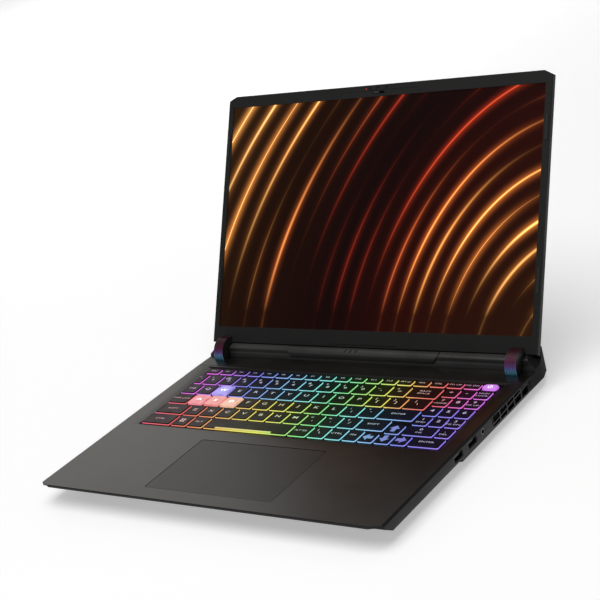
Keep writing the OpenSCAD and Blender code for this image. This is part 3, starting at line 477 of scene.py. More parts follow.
def round_outline(x0, x1, y0, y1, corner, steps=5):
    """Points of a rectangle with round corners, counter-clockwise"""
    corner = min(corner, (x1 - x0) / 2 - 1e-6, (y1 - y0) / 2 - 1e-6)
    points = []
    for cx, cy, start in (
        (x1 - corner, y0 + corner, -90), (x1 - corner, y1 - corner, 0),
        (x0 + corner, y1 - corner, 90), (x0 + corner, y0 + corner, 180),
    ):
        for i in range(steps + 1):
            angle = math.radians(start + 90 * i / steps)
            points.append((cx + corner * math.cos(angle), cy + corner * math.sin(angle)))
    return points


def circle(radius, steps):
    """Points of a circle round the origin"""
    turns = [2 * math.pi * i / steps for i in range(steps)]
    return [(radius * math.cos(turn), radius * math.sin(turn)) for turn in turns]


def loft(bm, loops, material=0, closed=True):
    """Skin over loops of equal length, from the lowest to the highest"""
    rings = [[bm.verts.new(point) for point in loop] for loop in loops]
    count = len(rings[0])
    faces = []
    for low, high in zip(rings, rings[1:]):
        for i in range(count):
            j = (i + 1) % count
            faces.append(bm.faces.new((low[i], low[j], high[j], high[i])))
    if closed:
        faces.append(bm.faces.new(rings[-1]))
        faces.append(bm.faces.new(tuple(reversed(rings[0]))))
    for face in faces:
        face.material_index = material


def add_block(bm, low, high):
    """Box between two corners"""
    corners = ((low[0], low[1]), (high[0], low[1]), (high[0], high[1]), (low[0], high[1]))
    loft(bm, [[(x, y, z) for x, y in corners] for z in (low[2], high[2])])


def add_disc(bm, middle, radius, low, high, material):
    """Round plug between two heights"""
    rim = circle(radius, 20)
    loft(bm, [[(middle[0] + x, middle[1] + y, z) for x, y in rim] for z in (low, high)], material)


def box_of(points):
    """Lowest and highest corner of some points"""
    points = list(points)
    return tuple(Vector([pick(p[i] for p in points) for i in range(3)]) for pick in (min, max))


# Solids whose fronts lie closer together than this stand in one row.
ROW_GAP = 5 * MM


def solid_boxes(node):
    """Box of each separate solid in a CAD node, from the back row to the front, left to right"""
    bm = bmesh.new()
    bm.from_mesh(FRAME["nodes"][node].data)
    bmesh.ops.remove_doubles(bm, verts=bm.verts, dist=1e-6)
    todo = set(bm.verts)
    boxes = []
    while todo:
        stack = [todo.pop()]
        found = []
        while stack:
            vertex = stack.pop()
            found.append(vertex)
            for edge in vertex.link_edges:
                other = edge.other_vert(vertex)
                if other in todo:
                    todo.remove(other)
                    stack.append(other)
        boxes.append(box_of(v.co for v in found))
    bm.free()
    boxes.sort(key=lambda b: -b[0].y)
    rows = []
    for box in boxes:
        if rows and abs(rows[-1][0][0].y - box[0].y) < ROW_GAP:
            rows[-1].append(box)
        else:
            rows.append([box])
    return [box for row in rows for box in sorted(row, key=lambda b: b[0].x)]


# ---------- keyboard ----------

KEY_BOXES = {node: solid_boxes(node) for node in KEYBOARD_ROWS}


def keys_span(axis):
    """Lowest and highest place of all the keys along an axis"""
    boxes = [box for row in KEY_BOXES.values() for box in row]
    return min(low[axis] for low, high in boxes), max(high[axis] for low, high in boxes)


KEYS_X = keys_span(0)
KEYS_Y = keys_span(1)
# The light changes direction between the row of the letter A and the row of the letter Q.
LIGHT_SPLIT_Y = KEY_BOXES["key_a"][0][1].y + 1 * MM
# Hues along the keyboard, from its left end at 0 to its right end at 1
REAR_ROWS_HUE = [
    (0.0, 0.85), (0.06, 0.81), (0.12, 0.74), (0.2, 0.66), (0.28, 0.61), (0.37, 0.55), (0.46, 0.48),
    (0.55, 0.37), (0.63, 0.25), (0.7, 0.17), (0.76, 0.09), (0.82, 0.02), (0.88, -0.02),
    (0.93, -0.12), (1.0, -0.2),
]
FRONT_ROWS_HUE = [
    (0.0, -0.03), (0.1, 0.0), (0.18, 0.04), (0.26, 0.1), (0.34, 0.145), (0.42, 0.17), (0.5, 0.25),
    (0.57, 0.36), (0.64, 0.47), (0.71, 0.54), (0.8, 0.6), (0.88, 0.66), (1.0, 0.71),
]
# Below the 2.2 of a screen, so that the weaker channels are lifted as LEDs show them
LED_GAMMA = 1.6
# Saturation that red has over the given one, and cyan under it
DEPTH_SWING = 0.11


def hue_color(hue, saturation=1.0, value=1.0):
    """Linear colour of a hue on the keyboard"""
    def channel(start):
        place = (start + hue % 1.0 * 6) % 6
        return value - value * saturation * max(0, min(place, 4 - place, 1))

    return tuple(channel(start) ** LED_GAMMA for start in (5, 3, 1))


def light_finish(name, stops, strength, saturation=0.7, color=(0.3, 0.3, 0.3), roughness=0.35):
    """Plastic lit from inside, its hue changing across the keyboard"""
    finish = Finish(name, color, roughness)
    across = finish.spread(finish.axis("X", finish.place()), *KEYS_X)
    colors = []
    for share, hue in stops:
        depth = saturation + DEPTH_SWING * math.cos(2 * math.pi * hue)
        colors.append((share, hue_color(hue, min(1.0, depth))))
    finish.shine(finish.ramp(across, colors), strength)
    return finish


def cap_finish(name, stops, look):
    """Dark soft-touch cap top that takes a faint tint from the light round it"""
    finish = light_finish(name, stops, look.spill, 1.0, look.cap_color, 0.36)
    finish.shader.inputs["Specular IOR Level"].default_value = 0.28
    finish.vary_roughness(finish.noise(90, 3), 0.32, 0.42)
    finish.bump(finish.noise(3200, 2, 0.6), 0.012 * MM, 0.5)
    return finish.material


def lit_cap_finish(name, hue, depth, strength):
    """Milky key cap lit from below, with slow changes from deep to pale"""
    finish = Finish(name, (0.35, 0.35, 0.35), 0.4)
    tones = (hue_color(hue, depth, 0.9), hue_color(hue, depth - 0.18, 1.0))
    finish.shine(finish.ramp(finish.noise(130, 1), list(zip(TONE_NOISE, tones))), strength)
    finish.bump(finish.noise(2600, 2, 0.6), 0.01 * MM, 0.4)
    return finish.material


# Shares of the space bar's length left dark at its two ends, and the strip's edges from its front
BAR_ENDS = (0.15, 0.17)
BAR_FRONT = 0.25 * MM
BAR_BACK = 2.1 * MM


def add_light_bar(bm, box):
    """Lit strip set into the front of the space bar's top"""
    low, high = box
    length = high.x - low.x
    add_block(
        bm,
        (low.x + BAR_ENDS[0] * length, low.y + BAR_FRONT, high.z - 0.9 * MM),
        (high.x - BAR_ENDS[1] * length, low.y + BAR_BACK, high.z + 0.02 * MM),
    )


def add_cap(bm, box, look, corner, cap, skirt):
    """One key: a lit skirt with a slightly narrower, dished top on it"""
    low, high = box
    x0, x1, y0, y1 = low.x, high.x, low.y, high.y

    def ring(inset, z, corner):
        return [
            (x, y, z)
            for x, y in round_outline(x0 + inset, x1 - inset, y0 + inset, y1 - inset, corner)
        ]

    middle = low.z + look.skirt
    loft(bm, [
        ring(0, low.z, corner),
        ring(0, middle - 0.25 * MM, corner),
        ring(0.2 * MM, middle, corner),
    ], skirt)
    top = high.z
    # Upright side, round shoulder, and the dish
    loft(bm, [
        ring(0.5 * MM, middle - 0.1 * MM, corner),
        ring(0.28 * MM, middle + 0.03 * MM, corner),
        ring(0.3 * MM, top - 0.35 * MM, corner),
        ring(0.42 * MM, top - 0.1 * MM, corner),
        ring(0.75 * MM, top, corner),
        ring(1.6 * MM, top - look.dish * 0.35, corner),
        ring(3.2 * MM, top - look.dish * 0.85, corner * 0.8),
        ring(4.4 * MM, top - look.dish, corner * 0.6),
    ], cap)


# Share of its height by which a lone letter is thickened
BOLD = 0.012


def text_mesh(bm, words, size, place, stretch):
    """Adds flat lettering to a bmesh, its middle at a place"""
    curve = bpy.data.curves.new("lettering", "FONT")
    curve.body = words
    curve.size = size
    curve.align_x = "CENTER"
    curve.align_y = "CENTER"
    curve.offset = size * BOLD if len(words) == 1 else 0.0
    curve.resolution_u = 3
    holder = bpy.data.objects.new("lettering", curve)
    bpy.context.scene.collection.objects.link(holder)
    bpy.context.view_layer.update()
    mesh = bpy.data.meshes.new_from_object(
        holder.evaluated_get(bpy.context.evaluated_depsgraph_get())
    )
    mesh.transform(Matrix.Translation(place) @ Matrix.Diagonal((stretch, 1, 1, 1)))
    bm.from_mesh(mesh)
    bpy.data.meshes.remove(mesh)
    bpy.data.objects.remove(holder)
    bpy.data.curves.remove(curve)


def add_polygon(bm, points, place, turn, size):
    """Adds one flat outline, turned about its middle"""
    spin = Matrix.Rotation(turn, 3, "Z")
    bm.faces.new([
        bm.verts.new(Vector(place) + spin @ Vector((x * size, y * size, 0))) for x, y in points
    ])


ARROW = [(0.0, 1.0), (-0.95, 0.0), (-0.4, 0.0), (-0.4, -0.9), (0.4, -0.9), (0.4, 0.0), (0.95, 0.0)]
ARROW_TURNS = {"UP": 0.0, "LEFT": 90.0, "DOWN": 180.0, "RIGHT": -90.0}
ARROW_SIZE = 5.2 * MM
POWER_CORNER = 3.6 * MM
POWER_RING = 2.2 * MM
POWER_RING_WIDTH = 0.6 * MM
LEGEND_RAISE = 0.015 * MM
# Height against the letter setting, and place from the cap's middle in millimetres
LETTERING = {
    "lone": (1.1, (0, 0.4)),
    "upper sign": (0.8, (-2.6, 3.0)),
    "lower sign": (0.95, (0.6, -1.2)),
    "upper digit": (0.9, (0, 1.9)),
    "upper word": (0.62, (0, 1.9)),
    "under a digit": (0.62, (0, -2.9)),
    "under a word": (0.62, (0, -2.2)),
    "word": (0.68, (0, 0)),
    "word on a shallow key": (0.6, (0, 0)),
}
SHALLOW_KEY = 12 * MM
LONG_WORD = 6
LONG_WORD_STRETCH = 1.2


def add_ring(bm, place, radius, width, start, end, steps=28):
    """Part of a flat ring between two angles"""
    rows = []
    for i in range(steps + 1):
        angle = math.radians(start + (end - start) * i / steps)
        direction = Vector((math.cos(angle), math.sin(angle), 0))
        rows.append([
            bm.verts.new(Vector(place) + direction * r) for r in (radius - width, radius)
        ])
    for a, b in zip(rows, rows[1:]):
        bm.faces.new((a[0], a[1], b[1], b[0]))


def add_legend(bm, legend, box, look):
    """Draws a key's legend just above its cap"""
    low, high = box
    centre = (low + high) / 2
    middle = Vector((centre.x, centre.y, high.z + LEGEND_RAISE))

    def letter(words, style, stretch=look.letter_stretch):
        height, at = LETTERING[style]
        text_mesh(bm, words, look.letter * height, middle + Vector((*at, 0)) * MM, stretch)

    if legend in ARROW_TURNS:
        add_polygon(bm, ARROW, middle, math.radians(ARROW_TURNS[legend]), ARROW_SIZE)
    elif legend == "DOTS":
        for x in (-1.5, 1.5):
            for y in (-1.5, 1.5):
                at = middle + Vector((x, y, 0)) * MM
                add_block(bm, at - Vector((1.1, 1.1, 0)) * MM, at + Vector((1.1, 1.1, 0.02)) * MM)
    elif legend == "POWER":
        add_ring(bm, middle, POWER_RING, POWER_RING_WIDTH, 120, 420)
        add_block(bm, middle + Vector((-0.3, 0.4, 0)) * MM, middle + Vector((0.3, 2.7, 0.02)) * MM)
    elif "/" in legend[1:-1]:
        upper, lower = legend.split("/")
        kind = "word" if len(upper) > 1 else "digit"
        letter(upper, "upper " + kind)
        letter(lower, "under a " + kind)
    elif "|" in legend[1:-1]:
        letter(legend[0], "upper sign")
        letter(legend[-1], "lower sign")
    elif len(legend) == 1:
        letter(legend, "lone")
    elif legend:
        style = "word on a shallow key" if high.y - low.y < SHALLOW_KEY else "word"
        stretch = look.letter_stretch if len(legend) < LONG_WORD else LONG_WORD_STRETCH
        letter(legend, style, stretch)


class LAPTOP_OT_keyboard(bpy.types.Operator):
    """Build the key caps, their lit skirts and their legends"""

    bl_idname = "laptop.keyboard"
    bl_label = "Keyboard"

    def execute(self, context):
        look = context.scene.laptop_keys
        rows = (("rear rows", REAR_ROWS_HUE), ("front rows", FRONT_ROWS_HUE))
        caps = [cap_finish(f"Key cap {name}", hues, look) for name, hues in rows]
        glows = [light_finish(f"Key light {name}", hues, look.glow).material for name, hues in rows]
        inks = [
            light_finish(f"Legend light {name}", hues, look.legend, 0.3).material for name, hues in rows
        ]
        blue = light_finish("Arrow light", FRONT_ROWS_HUE, look.arrows, 1.0).material
        bar = light_finish("Bar light", FRONT_ROWS_HUE, look.bar, 0.8).material
        white = Finish("Legend white", (0.9, 0.9, 0.9), 0.4)
        white.shine((1, 1, 1), look.lit_sign)
        special = {"keys_arrows": [blue, blue], "key_space": [bar, bar]}
        for node, legends in KEYBOARD_ROWS.items():
            boxes = KEY_BOXES[node]
            if len(boxes) != len(legends):
                raise RuntimeError(f"{node} has {len(boxes)} keys and {len(legends)} legends")
            lit, ink = None, special.get(node, inks)
            if node in LIT_CAPS:
                lit = lit_cap_finish(f"Lit cap {node}", *LIT_CAPS[node], look.lit_cap)
                ink = [white.material, white.material]
            corner = POWER_CORNER if node == "power_button" else look.corner
            tops, signs = bmesh.new(), bmesh.new()
            for box, legend in zip(boxes, legends):
                row = 0 if (box[0].y + box[1].y) / 2 > LIGHT_SPLIT_Y else 1
                add_cap(tops, box, look, corner, row, 0 if lit else 2 + row)
                before = len(signs.faces)
                add_legend(signs, legend, box, look)
                if node == "key_space":
                    add_light_bar(signs, box)
                signs.faces.ensure_lookup_table()
                for face in signs.faces[before:]:
                    face.material_index = row
            name = node.replace("keys_", "").replace("key_", "")
            piece = new_piece("caps_" + name, tops, [lit, lit] if lit else [*caps, *glows], node)
            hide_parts(node)
            new_piece("legends_" + name, signs, ink, node)
        return {"FINISHED"}


# ---------- base ----------

# Faces of the top case whose normals rise less than this are painted dark, as shade on its side walls and
# edges.
RIM_SHADE_RISE = 0.8
# The keyboard's well lies this far under the deck and reaches this far past the caps. Its faces are
# painted near black as shade under the keys.
WELL_DROP = 0.8 * MM
WELL_SIDE = 1.6 * MM
WELL_END = 2 * MM
# A face is a flank, painted dark as shade, where its normal leans sideways by more than this, on the
# shroud from this far out and on the top case from this far in front of the hinge.
SIDEWAYS = 0.35
FLANK_X = 150 * MM
FLANK_FRONT = 24 * MM
# The hump's faces with a painted highlight start over the deck and end behind the hinge. Its slashes lie
# nearer the middle.
HUMP_FOOT = 2.5 * MM
HUMP_BACK = 4 * MM
SLASHES_X = 17 * MM
# The mesh behind the side vents: edges down from the deck and forward from the hinge, and distance in
VENT_DROP = (2 * MM, 11.8 * MM)
VENT_FRONT = (18.5 * MM, 83.5 * MM)
VENT_IN = 4 * MM
MESH_HALF_THICK = 0.2 * MM


def in_shaded_well(at):
    """Whether a place on the top case lies under the keys, where it is painted near black as shade"""
    return (
        at.z < DECK_TOP - WELL_DROP and KEYS_X[0] - WELL_SIDE < at.x < KEYS_X[1] + WELL_SIDE
        and KEYS_Y[0] - WELL_END < at.y < KEYS_Y[1] + WELL_END
    )


def on_hump_highlight(at, out):
    """Whether a face of the shroud is one of the hump's upper faces or ends, which get a painted
    highlight
    """
    upward = out.z > 0.45 and out.y < 0.5
    end = abs(out.x) > 0.3 and abs(at.x) > SLASHES_X
    return (
        (upward or end) and at.z > DECK_TOP + HUMP_FOOT and at.y < HINGE.y + HUMP_BACK
        and abs(at.x) < FLANK_X
    )


class LAPTOP_OT_base_shells(bpy.types.Operator):
    """Finish the deck, the bottom, the tail and the touchpad"""

    bl_idname = "laptop.base_shells"
    bl_label = "Base shells"

    def execute(self, context):
        look = context.scene.laptop_shell
        deck = grained("Deck anodised", look.deck_color, 0.3, 0.01 * MM, 3800, metallic=1.0, spread=0.02)
        plastic = grained("Moulded dark plastic", look.plastic_color, 0.5, 0.03 * MM, 2200,
                          Specular_IOR_Level=0.3)
        # The side walls and edges of the top case get a dark dull finish in place of the metal: painted
        # shade.
        rim = grained("Rim painted shade", look.rim_color, 0.45, 0.02 * MM, 2600, Specular_IOR_Level=0.2)
        # Near black for the well under the keys: painted shade.
        well = grained("Keyboard well painted shade", (0.002, 0.002, 0.002), 0.6, 0.02 * MM, 2600,
                       Specular_IOR_Level=0.1)
        dress("top_case", deck, look.edge_round)
        paint_faces("top_case", rim, lambda at, out: out.z < RIM_SHADE_RISE)
        paint_faces("top_case", well, lambda at, out: in_shaded_well(at))
        dress("bottom_cover", plastic, look.edge_round)
        satin = grained("Satin dark plastic", scaled(look.plastic_color, 0.75), 0.36, 0.03 * MM, 2200)
        dress("rear_shroud", satin, look.edge_round * 0.8)
        # Sideways faces of the tail and of the top case's rear get a darker, duller finish: painted
        # shade.
        flank = grained("Flank painted shade", look.rim_color, 0.75, 0.02 * MM, 2600, Specular_IOR_Level=0.08)
        paint_faces("rear_shroud", flank, lambda at, out: abs(out.x) > SIDEWAYS and abs(at.x) > FLANK_X)
        paint_faces("top_case", flank, lambda at, out: (
            abs(out.x) > SIDEWAYS and at.y > HINGE.y - FLANK_FRONT
        ))
        # A lighter copy of the tail's plastic on the hump's upper faces and ends: painted highlight.
        lip = grained("Hump painted highlight", scaled(look.plastic_color, 2.6), 0.3, 0.02 * MM, 2200)
        paint_faces("rear_shroud", lip, on_hump_highlight)
        pad = grained("Touchpad glass", scaled(look.deck_color, 0.84), 0.36, 0.006 * MM, 4200,
                      metallic=1.0, spread=0.02)
        dress("touchpad", pad, 0.25 * MM)
        mesh = Finish("Vent mesh", (0.006, 0.006, 0.0065), 0.6, 0.0, Specular_IOR_Level=0.2)
        holes = mesh.node("TexVoronoi", distance="CHEBYCHEV")
        holes.inputs["Scale"].default_value = 900
        holes.inputs["Randomness"].default_value = 0
        mesh.wire(mesh.place(), holes.inputs["Vector"])
        mesh.vary_color(holes.outputs["Distance"], (0.001, 0.001, 0.001), (0.012, 0.012, 0.013))
        mesh.bump(holes.outputs["Distance"], 0.3 * MM)
        screens = bmesh.new()
        for side in (-1, 1):
            wall = side * (HALF_WIDTH - VENT_IN)
            add_block(
                screens, (wall - MESH_HALF_THICK, HINGE.y - VENT_FRONT[1], DECK_TOP - VENT_DROP[1]),
                (wall + MESH_HALF_THICK, HINGE.y - VENT_FRONT[0], DECK_TOP - VENT_DROP[0]),
            )
        new_piece("vent_screens", screens, [mesh.material], BASE)
        rubber = grained("Foot rubber", (0.012, 0.012, 0.012), 0.8, 0.05 * MM, 900)
        dress("rubber_feet", rubber, 0.8 * MM, 3)
        return {"FINISHED"}


# Half length and half width of each bar of a screw's cross, a dark slab painted as the shade in the
# screw's recess
CROSS = (1.5 * MM, 0.32 * MM)


class LAPTOP_OT_inner_parts(bpy.types.Operator):
    """Finish the parts inside the base"""

    bl_idname = "laptop.inner_parts"
    bl_label = "Inner parts"

    def execute(self, context):
        steel = brushed("Rolled steel", (0.42, 0.42, 0.43), 0.35)
        black_steel = brushed("Blackened steel", (0.035, 0.035, 0.037), 0.42)
        board = grained("Circuit board", (0.012, 0.06, 0.04), 0.4, 0.05 * MM, 700)
        dark = grained("Dark moulding", (0.02, 0.021, 0.023), 0.5, 0.03 * MM, 1500)
        copper = brushed("Copper", (0.72, 0.36, 0.2), 0.3)
        fins = brushed("Fin aluminium", (0.6, 0.6, 0.61), 0.35, "Z")
        film = grained("Diffusing film", (0.02, 0.02, 0.022), 0.5, 0.01 * MM, 1500)
        wrap = grained("Battery wrap", (0.02, 0.021, 0.024), 0.45, 0.03 * MM, 900)
        foil = brushed("Antenna foil", (0.7, 0.55, 0.3), 0.4)
        for nodes, material in (
            (("keyboard_plate", "touchpad_bracket"), steel),
            (("hinge_brackets", "hinge_pins", "hinge_arms"), black_steel),
            (("motherboard", "ssd_module", "memory_modules", "wireless_card"), board),
            (("fan_housing_left", "fan_housing_right", "fan_impeller_left", "fan_impeller_right",
              "speakers", "display_cable"), dark),
            (("heat_pipes",), copper),
            (("heat_sinks",), fins),
            (("battery_pack",), wrap),
            (("keyboard_backlight",), film),
            (("antennas",), foil),
        ):
            for node in nodes:
                dress(node, material, 0.15 * MM, 1)
        screw = brushed("Black screw steel", (0.09, 0.09, 0.095), 0.35)
        dress("bottom_screws", screw, 0.2 * MM)
        # Dark crosses on the screw heads stand in for their recesses: painted shade.
        recess = grained("Screw recess painted shade", (0.006, 0.006, 0.006), 0.6, 0.02 * MM, 1800)
        crosses = bmesh.new()
        for low, high in solid_boxes("bottom_screws"):
            x, y = (low.x + high.x) / 2, (low.y + high.y) / 2
            for wide, deep in (CROSS, CROSS[::-1]):
                add_block(
                    crosses, (x - wide, y - deep, low.z - 0.012 * MM),
                    (x + wide, y + deep, low.z + 0.1 * MM),
                )
        new_piece("screw_recess_shades", crosses, [recess], BASE)
        return {"FINISHED"}


# ---------- hinges ----------

# The lacquer's colours run from this far under the deck to this far over it.
LACQUER_FOOT = 3 * MM
LACQUER_HEAD = 15 * MM


class LAPTOP_OT_hinges(bpy.types.Operator):
    """Finish the ribbed hinge covers"""

    bl_idname = "laptop.hinges"
    bl_label = "Hinge covers"

    def execute(self, context):
        finish = Finish("Iridescent lacquer", (0.05, 0.12, 0.2), 0.34, 0.4)
        height = finish.spread(
            finish.axis("Z", finish.place()), DECK_TOP - LACQUER_FOOT, DECK_TOP + LACQUER_HEAD
        )
        wobble = finish.math("MULTIPLY_ADD", finish.noise(60, 2), 0.06, height)
        color = finish.ramp(wobble, [
            (0.0, (0.12, 0.42, 0.62)), (0.33, (0.17, 0.52, 0.76)), (0.48, (0.16, 0.2, 0.5)),
            (0.6, (0.18, 0.08, 0.28)), (0.78, (0.13, 0.02, 0.07)), (1.0, (0.05, 0.007, 0.016)),
        ])
        finish.wire(color, finish.shader.inputs["Base Color"])
        finish.vary_roughness(finish.noise(400, 2), 0.3, 0.4)
        # The covers' sideways faces are painted dark: painted shade on the side of each cover.
        cheek = grained("Hinge cheek painted shade", (0.012, 0.012, 0.013), 0.45, 0.02 * MM, 1800)
        for side in ("left", "right"):
            dress(f"hinge_cover_{side}", finish.material, 0.12 * MM, angle=30)
            paint_faces(f"hinge_cover_{side}", cheek, lambda at, out: abs(out.x) > 0.7)
        return {"FINISHED"}


# ---------- lid ----------

# Dots beside the camera, from the lid's middle: the sign light, then two microphone holes drawn as dark
# glass discs, painted shade
CAMERA_DOTS = ((-13.5 * MM, "sign"), (13.5 * MM, "hole"), (19.5 * MM, "hole"))
DOT_RADIUS = 0.55 * MM


def lid_box(node):
    """Box of a CAD node in the lid's own frame"""
    back = LID_FRAME.inverted()
    return box_of(back @ v.co for v in FRAME["nodes"][node].data.vertices)


class LAPTOP_OT_lid(bpy.types.Operator):
    """Finish the lid's cover, its bezel and the camera"""

    bl_idname = "laptop.lid"
    bl_label = "Lid"

    def execute(self, context):
        look = context.scene.laptop_shell
        cover = grained("Lid anodised", scaled(look.deck_color, 0.42), 0.4, 0.012 * MM, 3600,
                        metallic=1.0, spread=0.03)
        bezel = grained("Bezel matte", look.bezel_color, 0.55, 0.02 * MM, 2600, Specular_IOR_Level=0.22)
        edge = grained("Lid edge", look.rim_color, 0.5, 0.02 * MM, 2600, Specular_IOR_Level=0.25)
        dress("lid_cover", cover, look.edge_round)
        paint_faces("lid_cover", edge, lambda at, out: out.dot(OUT_OF_SCREEN) > -0.5)
        dress("display_bezel", bezel, 0.2 * MM)
        rubber = grained("Bumper rubber", (0.008, 0.008, 0.008), 0.7, 0.03 * MM, 1200)
        dress("lid_bumpers", rubber, 0.25 * MM)
        lens = Finish("Camera glass", (0.004, 0.004, 0.006), 0.08, 0, Coat_Weight=1.0)
        lens.vary_roughness(lens.noise(300, 2), 0.05, 0.12)
        paint("webcam_module", lens.material)
        low, high = lid_box("webcam_module")
        sign = Finish("Camera sign light", (0.2, 0.01, 0.01), 0.3)
        sign.vary_roughness(sign.noise(900, 2), 0.25, 0.4)
        sign.shine((1, 0.05, 0.03), 0.5)
        face = lid_box("display_bezel")[1].z
        dots = bmesh.new()
        # The microphone holes are dark discs on the bezel: painted shade where the holes are.
        for x, kind in CAMERA_DOTS:
            add_disc(dots, (x, (low.y + high.y) / 2), DOT_RADIUS, face - 0.3 * MM, face + 0.01 * MM,
                     ("sign", "hole").index(kind))
        dots.transform(LID_FRAME)
        new_piece("camera_dots", dots, [sign.material, lens.material], LID)
        shutter = grained("Shutter tab", (0.03, 0.03, 0.03), 0.45, 0.02 * MM, 1500)
        dress("webcam_shutter", shutter, 0.15 * MM)
        return {"FINISHED"}


# ---------- screen ----------

# The picture's edges: in from the base's sides, and up the lid from the hinge
SCREEN_SIDE = 6.15 * MM
SCREEN_FOOT = 23.74 * MM
SCREEN_TOP = 239.1 * MM
SCREEN_SHAPE = 1.6
# The arcs run round a point beyond the picture's lower right corner, between two distances from it.
ARC_MIDDLE = (1.25, -0.2)
ARC_REACH = (0.4, 2.3)
# Least half width of an arc's bright core against the arcs' spacing, and what chance adds to it
CORE_LEAST = 0.018
CORE_MORE = 0.07
# Each arc swells and fades along its length, as a wave of this many radians to a radian of arc.
SWELL = 3.4


class LAPTOP_OT_screen(bpy.types.Operator):
    """Build the lit picture in front of the panel"""

    bl_idname = "laptop.screen"
    bl_label = "Screen"

    def execute(self, context):
        look = context.scene.laptop_screen
        panel = grained("Panel frame", (0.01, 0.01, 0.011), 0.4, 0.02 * MM, 1500)
        paint("lcd_panel", panel)
        low, high = lid_box("lcd_panel")
        half = HALF_WIDTH - SCREEN_SIDE
        bm = bmesh.new()
        z = high.z + 0.03 * MM
        corners = [(-half, SCREEN_FOOT), (half, SCREEN_FOOT), (half, SCREEN_TOP), (-half, SCREEN_TOP)]
        face = bm.faces.new([bm.verts.new(LID_FRAME @ Vector((x, y, z))) for x, y in corners])
        uv = bm.loops.layers.uv.new("Picture")
        for loop, place in zip(face.loops, ((0, 0), (1, 0), (1, 1), (0, 1))):
            loop[uv].uv = place
        piece = new_piece("screen_picture", bm, [picture_finish(look)], LID)
        return {"FINISHED"}


def picture_finish(look):
    """Arcs of amber and red light that sweep over a dark ground"""
    finish = Finish("Screen picture", (0.002, 0.002, 0.002), 0.35, Specular_IOR_Level=0.04)
    source = finish.node("UVMap", uv_map="Picture").outputs["UV"]
    u, v = finish.axis("X", source), finish.axis("Y", source)
    dx = finish.math("MULTIPLY", finish.math("SUBTRACT", u, ARC_MIDDLE[0]), SCREEN_SHAPE)
    dy = finish.math("SUBTRACT", v, ARC_MIDDLE[1])
    radius = finish.math("SQRT", finish.math("ADD", finish.math("MULTIPLY", dx, dx),
                                             finish.math("MULTIPLY", dy, dy)))
    bend = finish.math("MULTIPLY", finish.math("SINE", finish.math("MULTIPLY", u, 5.0)), 0.05)
    reach = finish.math("ADD", radius, bend)
    place = finish.spread(reach, *ARC_REACH)
    turns = finish.math("MULTIPLY", place, float(look.arcs))
    cell = finish.math("FLOOR", turns)
    within = finish.math("ABSOLUTE", finish.math("SUBTRACT", finish.math("FRACT", turns), 0.5))
    luck = finish.node("TexWhiteNoise", noise_dimensions="1D")
    finish.wire(cell, luck.inputs["W"])
    chance = luck.outputs["Value"]
    width = finish.math("MULTIPLY_ADD", chance, CORE_MORE, CORE_LEAST)
    core = finish.math("POWER", finish.math(
        "SUBTRACT", 1.0, finish.math("DIVIDE", within, width), clamp=True), 0.8)
    halo = finish.math("POWER", finish.math("SUBTRACT", 1.0, finish.math("MULTIPLY", within, 2.0),
                                            clamp=True), 3.2)
    angle = finish.math("ARCTAN2", dy, finish.math("MULTIPLY", dx, -1.0))
    wave = finish.math("SINE", finish.math("MULTIPLY_ADD", chance, 21.0,
                                           finish.math("MULTIPLY", angle, SWELL)))
    fade = finish.math("POWER", finish.spread(wave, -1.0, 1.0, 0.05, 1.0), 1.6)
    # The arcs are amber at both ends of the sweep and red between, and end above the foot.
    foot = finish.spread(v, 0.07, 0.4, 0.03, 1.0)
    reach_gain = finish.ramp(place, [
        (at, (light, light, light)) for at, light in (
            (0.0, 2.4), (0.34, 1.7), (0.46, 0.55), (0.66, 0.45), (0.76, 1.5), (1.0, 2.2),
        )
    ])
    gain = finish.math("MULTIPLY", finish.math("MULTIPLY", fade, foot), reach_gain)
    heart = finish.ramp(place, [
        (0.0, (1.0, 0.62, 0.2)), (0.32, (1.0, 0.45, 0.1)), (0.46, (1.0, 0.1, 0.03)),
        (0.66, (0.9, 0.08, 0.03)), (0.78, (1.0, 0.5, 0.13)), (1.0, (1.0, 0.66, 0.24)),
    ])
    mist = finish.ramp(place, [
        (0.0, (0.5, 0.16, 0.03)), (0.34, (0.45, 0.1, 0.02)), (0.46, (0.6, 0.04, 0.015)),
        (0.66, (0.4, 0.025, 0.01)), (0.78, (0.45, 0.12, 0.02)), (1.0, (0.5, 0.2, 0.05)),
    ])
    ground = finish.ramp(place, [
        (0.0, (0.02, 0.006, 0.002)), (0.35, (0.02, 0.002, 0.001)), (0.55, (0.006, 0.001, 0.001)),
        (0.8, (0.012, 0.003, 0.001)), (1.0, (0.03, 0.011, 0.003)),
    ])
    cores = finish.vector("SCALE", heart, finish.math("MULTIPLY", core, gain))
    halos = finish.vector("SCALE", mist, finish.math("MULTIPLY", halo, gain))
    total = finish.vector("ADD", finish.vector("ADD", ground, cores), halos)
    finish.shine(total, look.light)
    return finish.material


# ---------- sockets ----------

# Radius of the jack's collar and how far it stands out of the jack's face, from its bore outwards
COLLAR = (
    (2.0 * MM, -0.5 * MM), (2.0 * MM, 0.0), (2.15 * MM, 0.08 * MM),
    (2.4 * MM, 0.08 * MM), (2.55 * MM, 0.0), (2.55 * MM, -0.5 * MM),
)


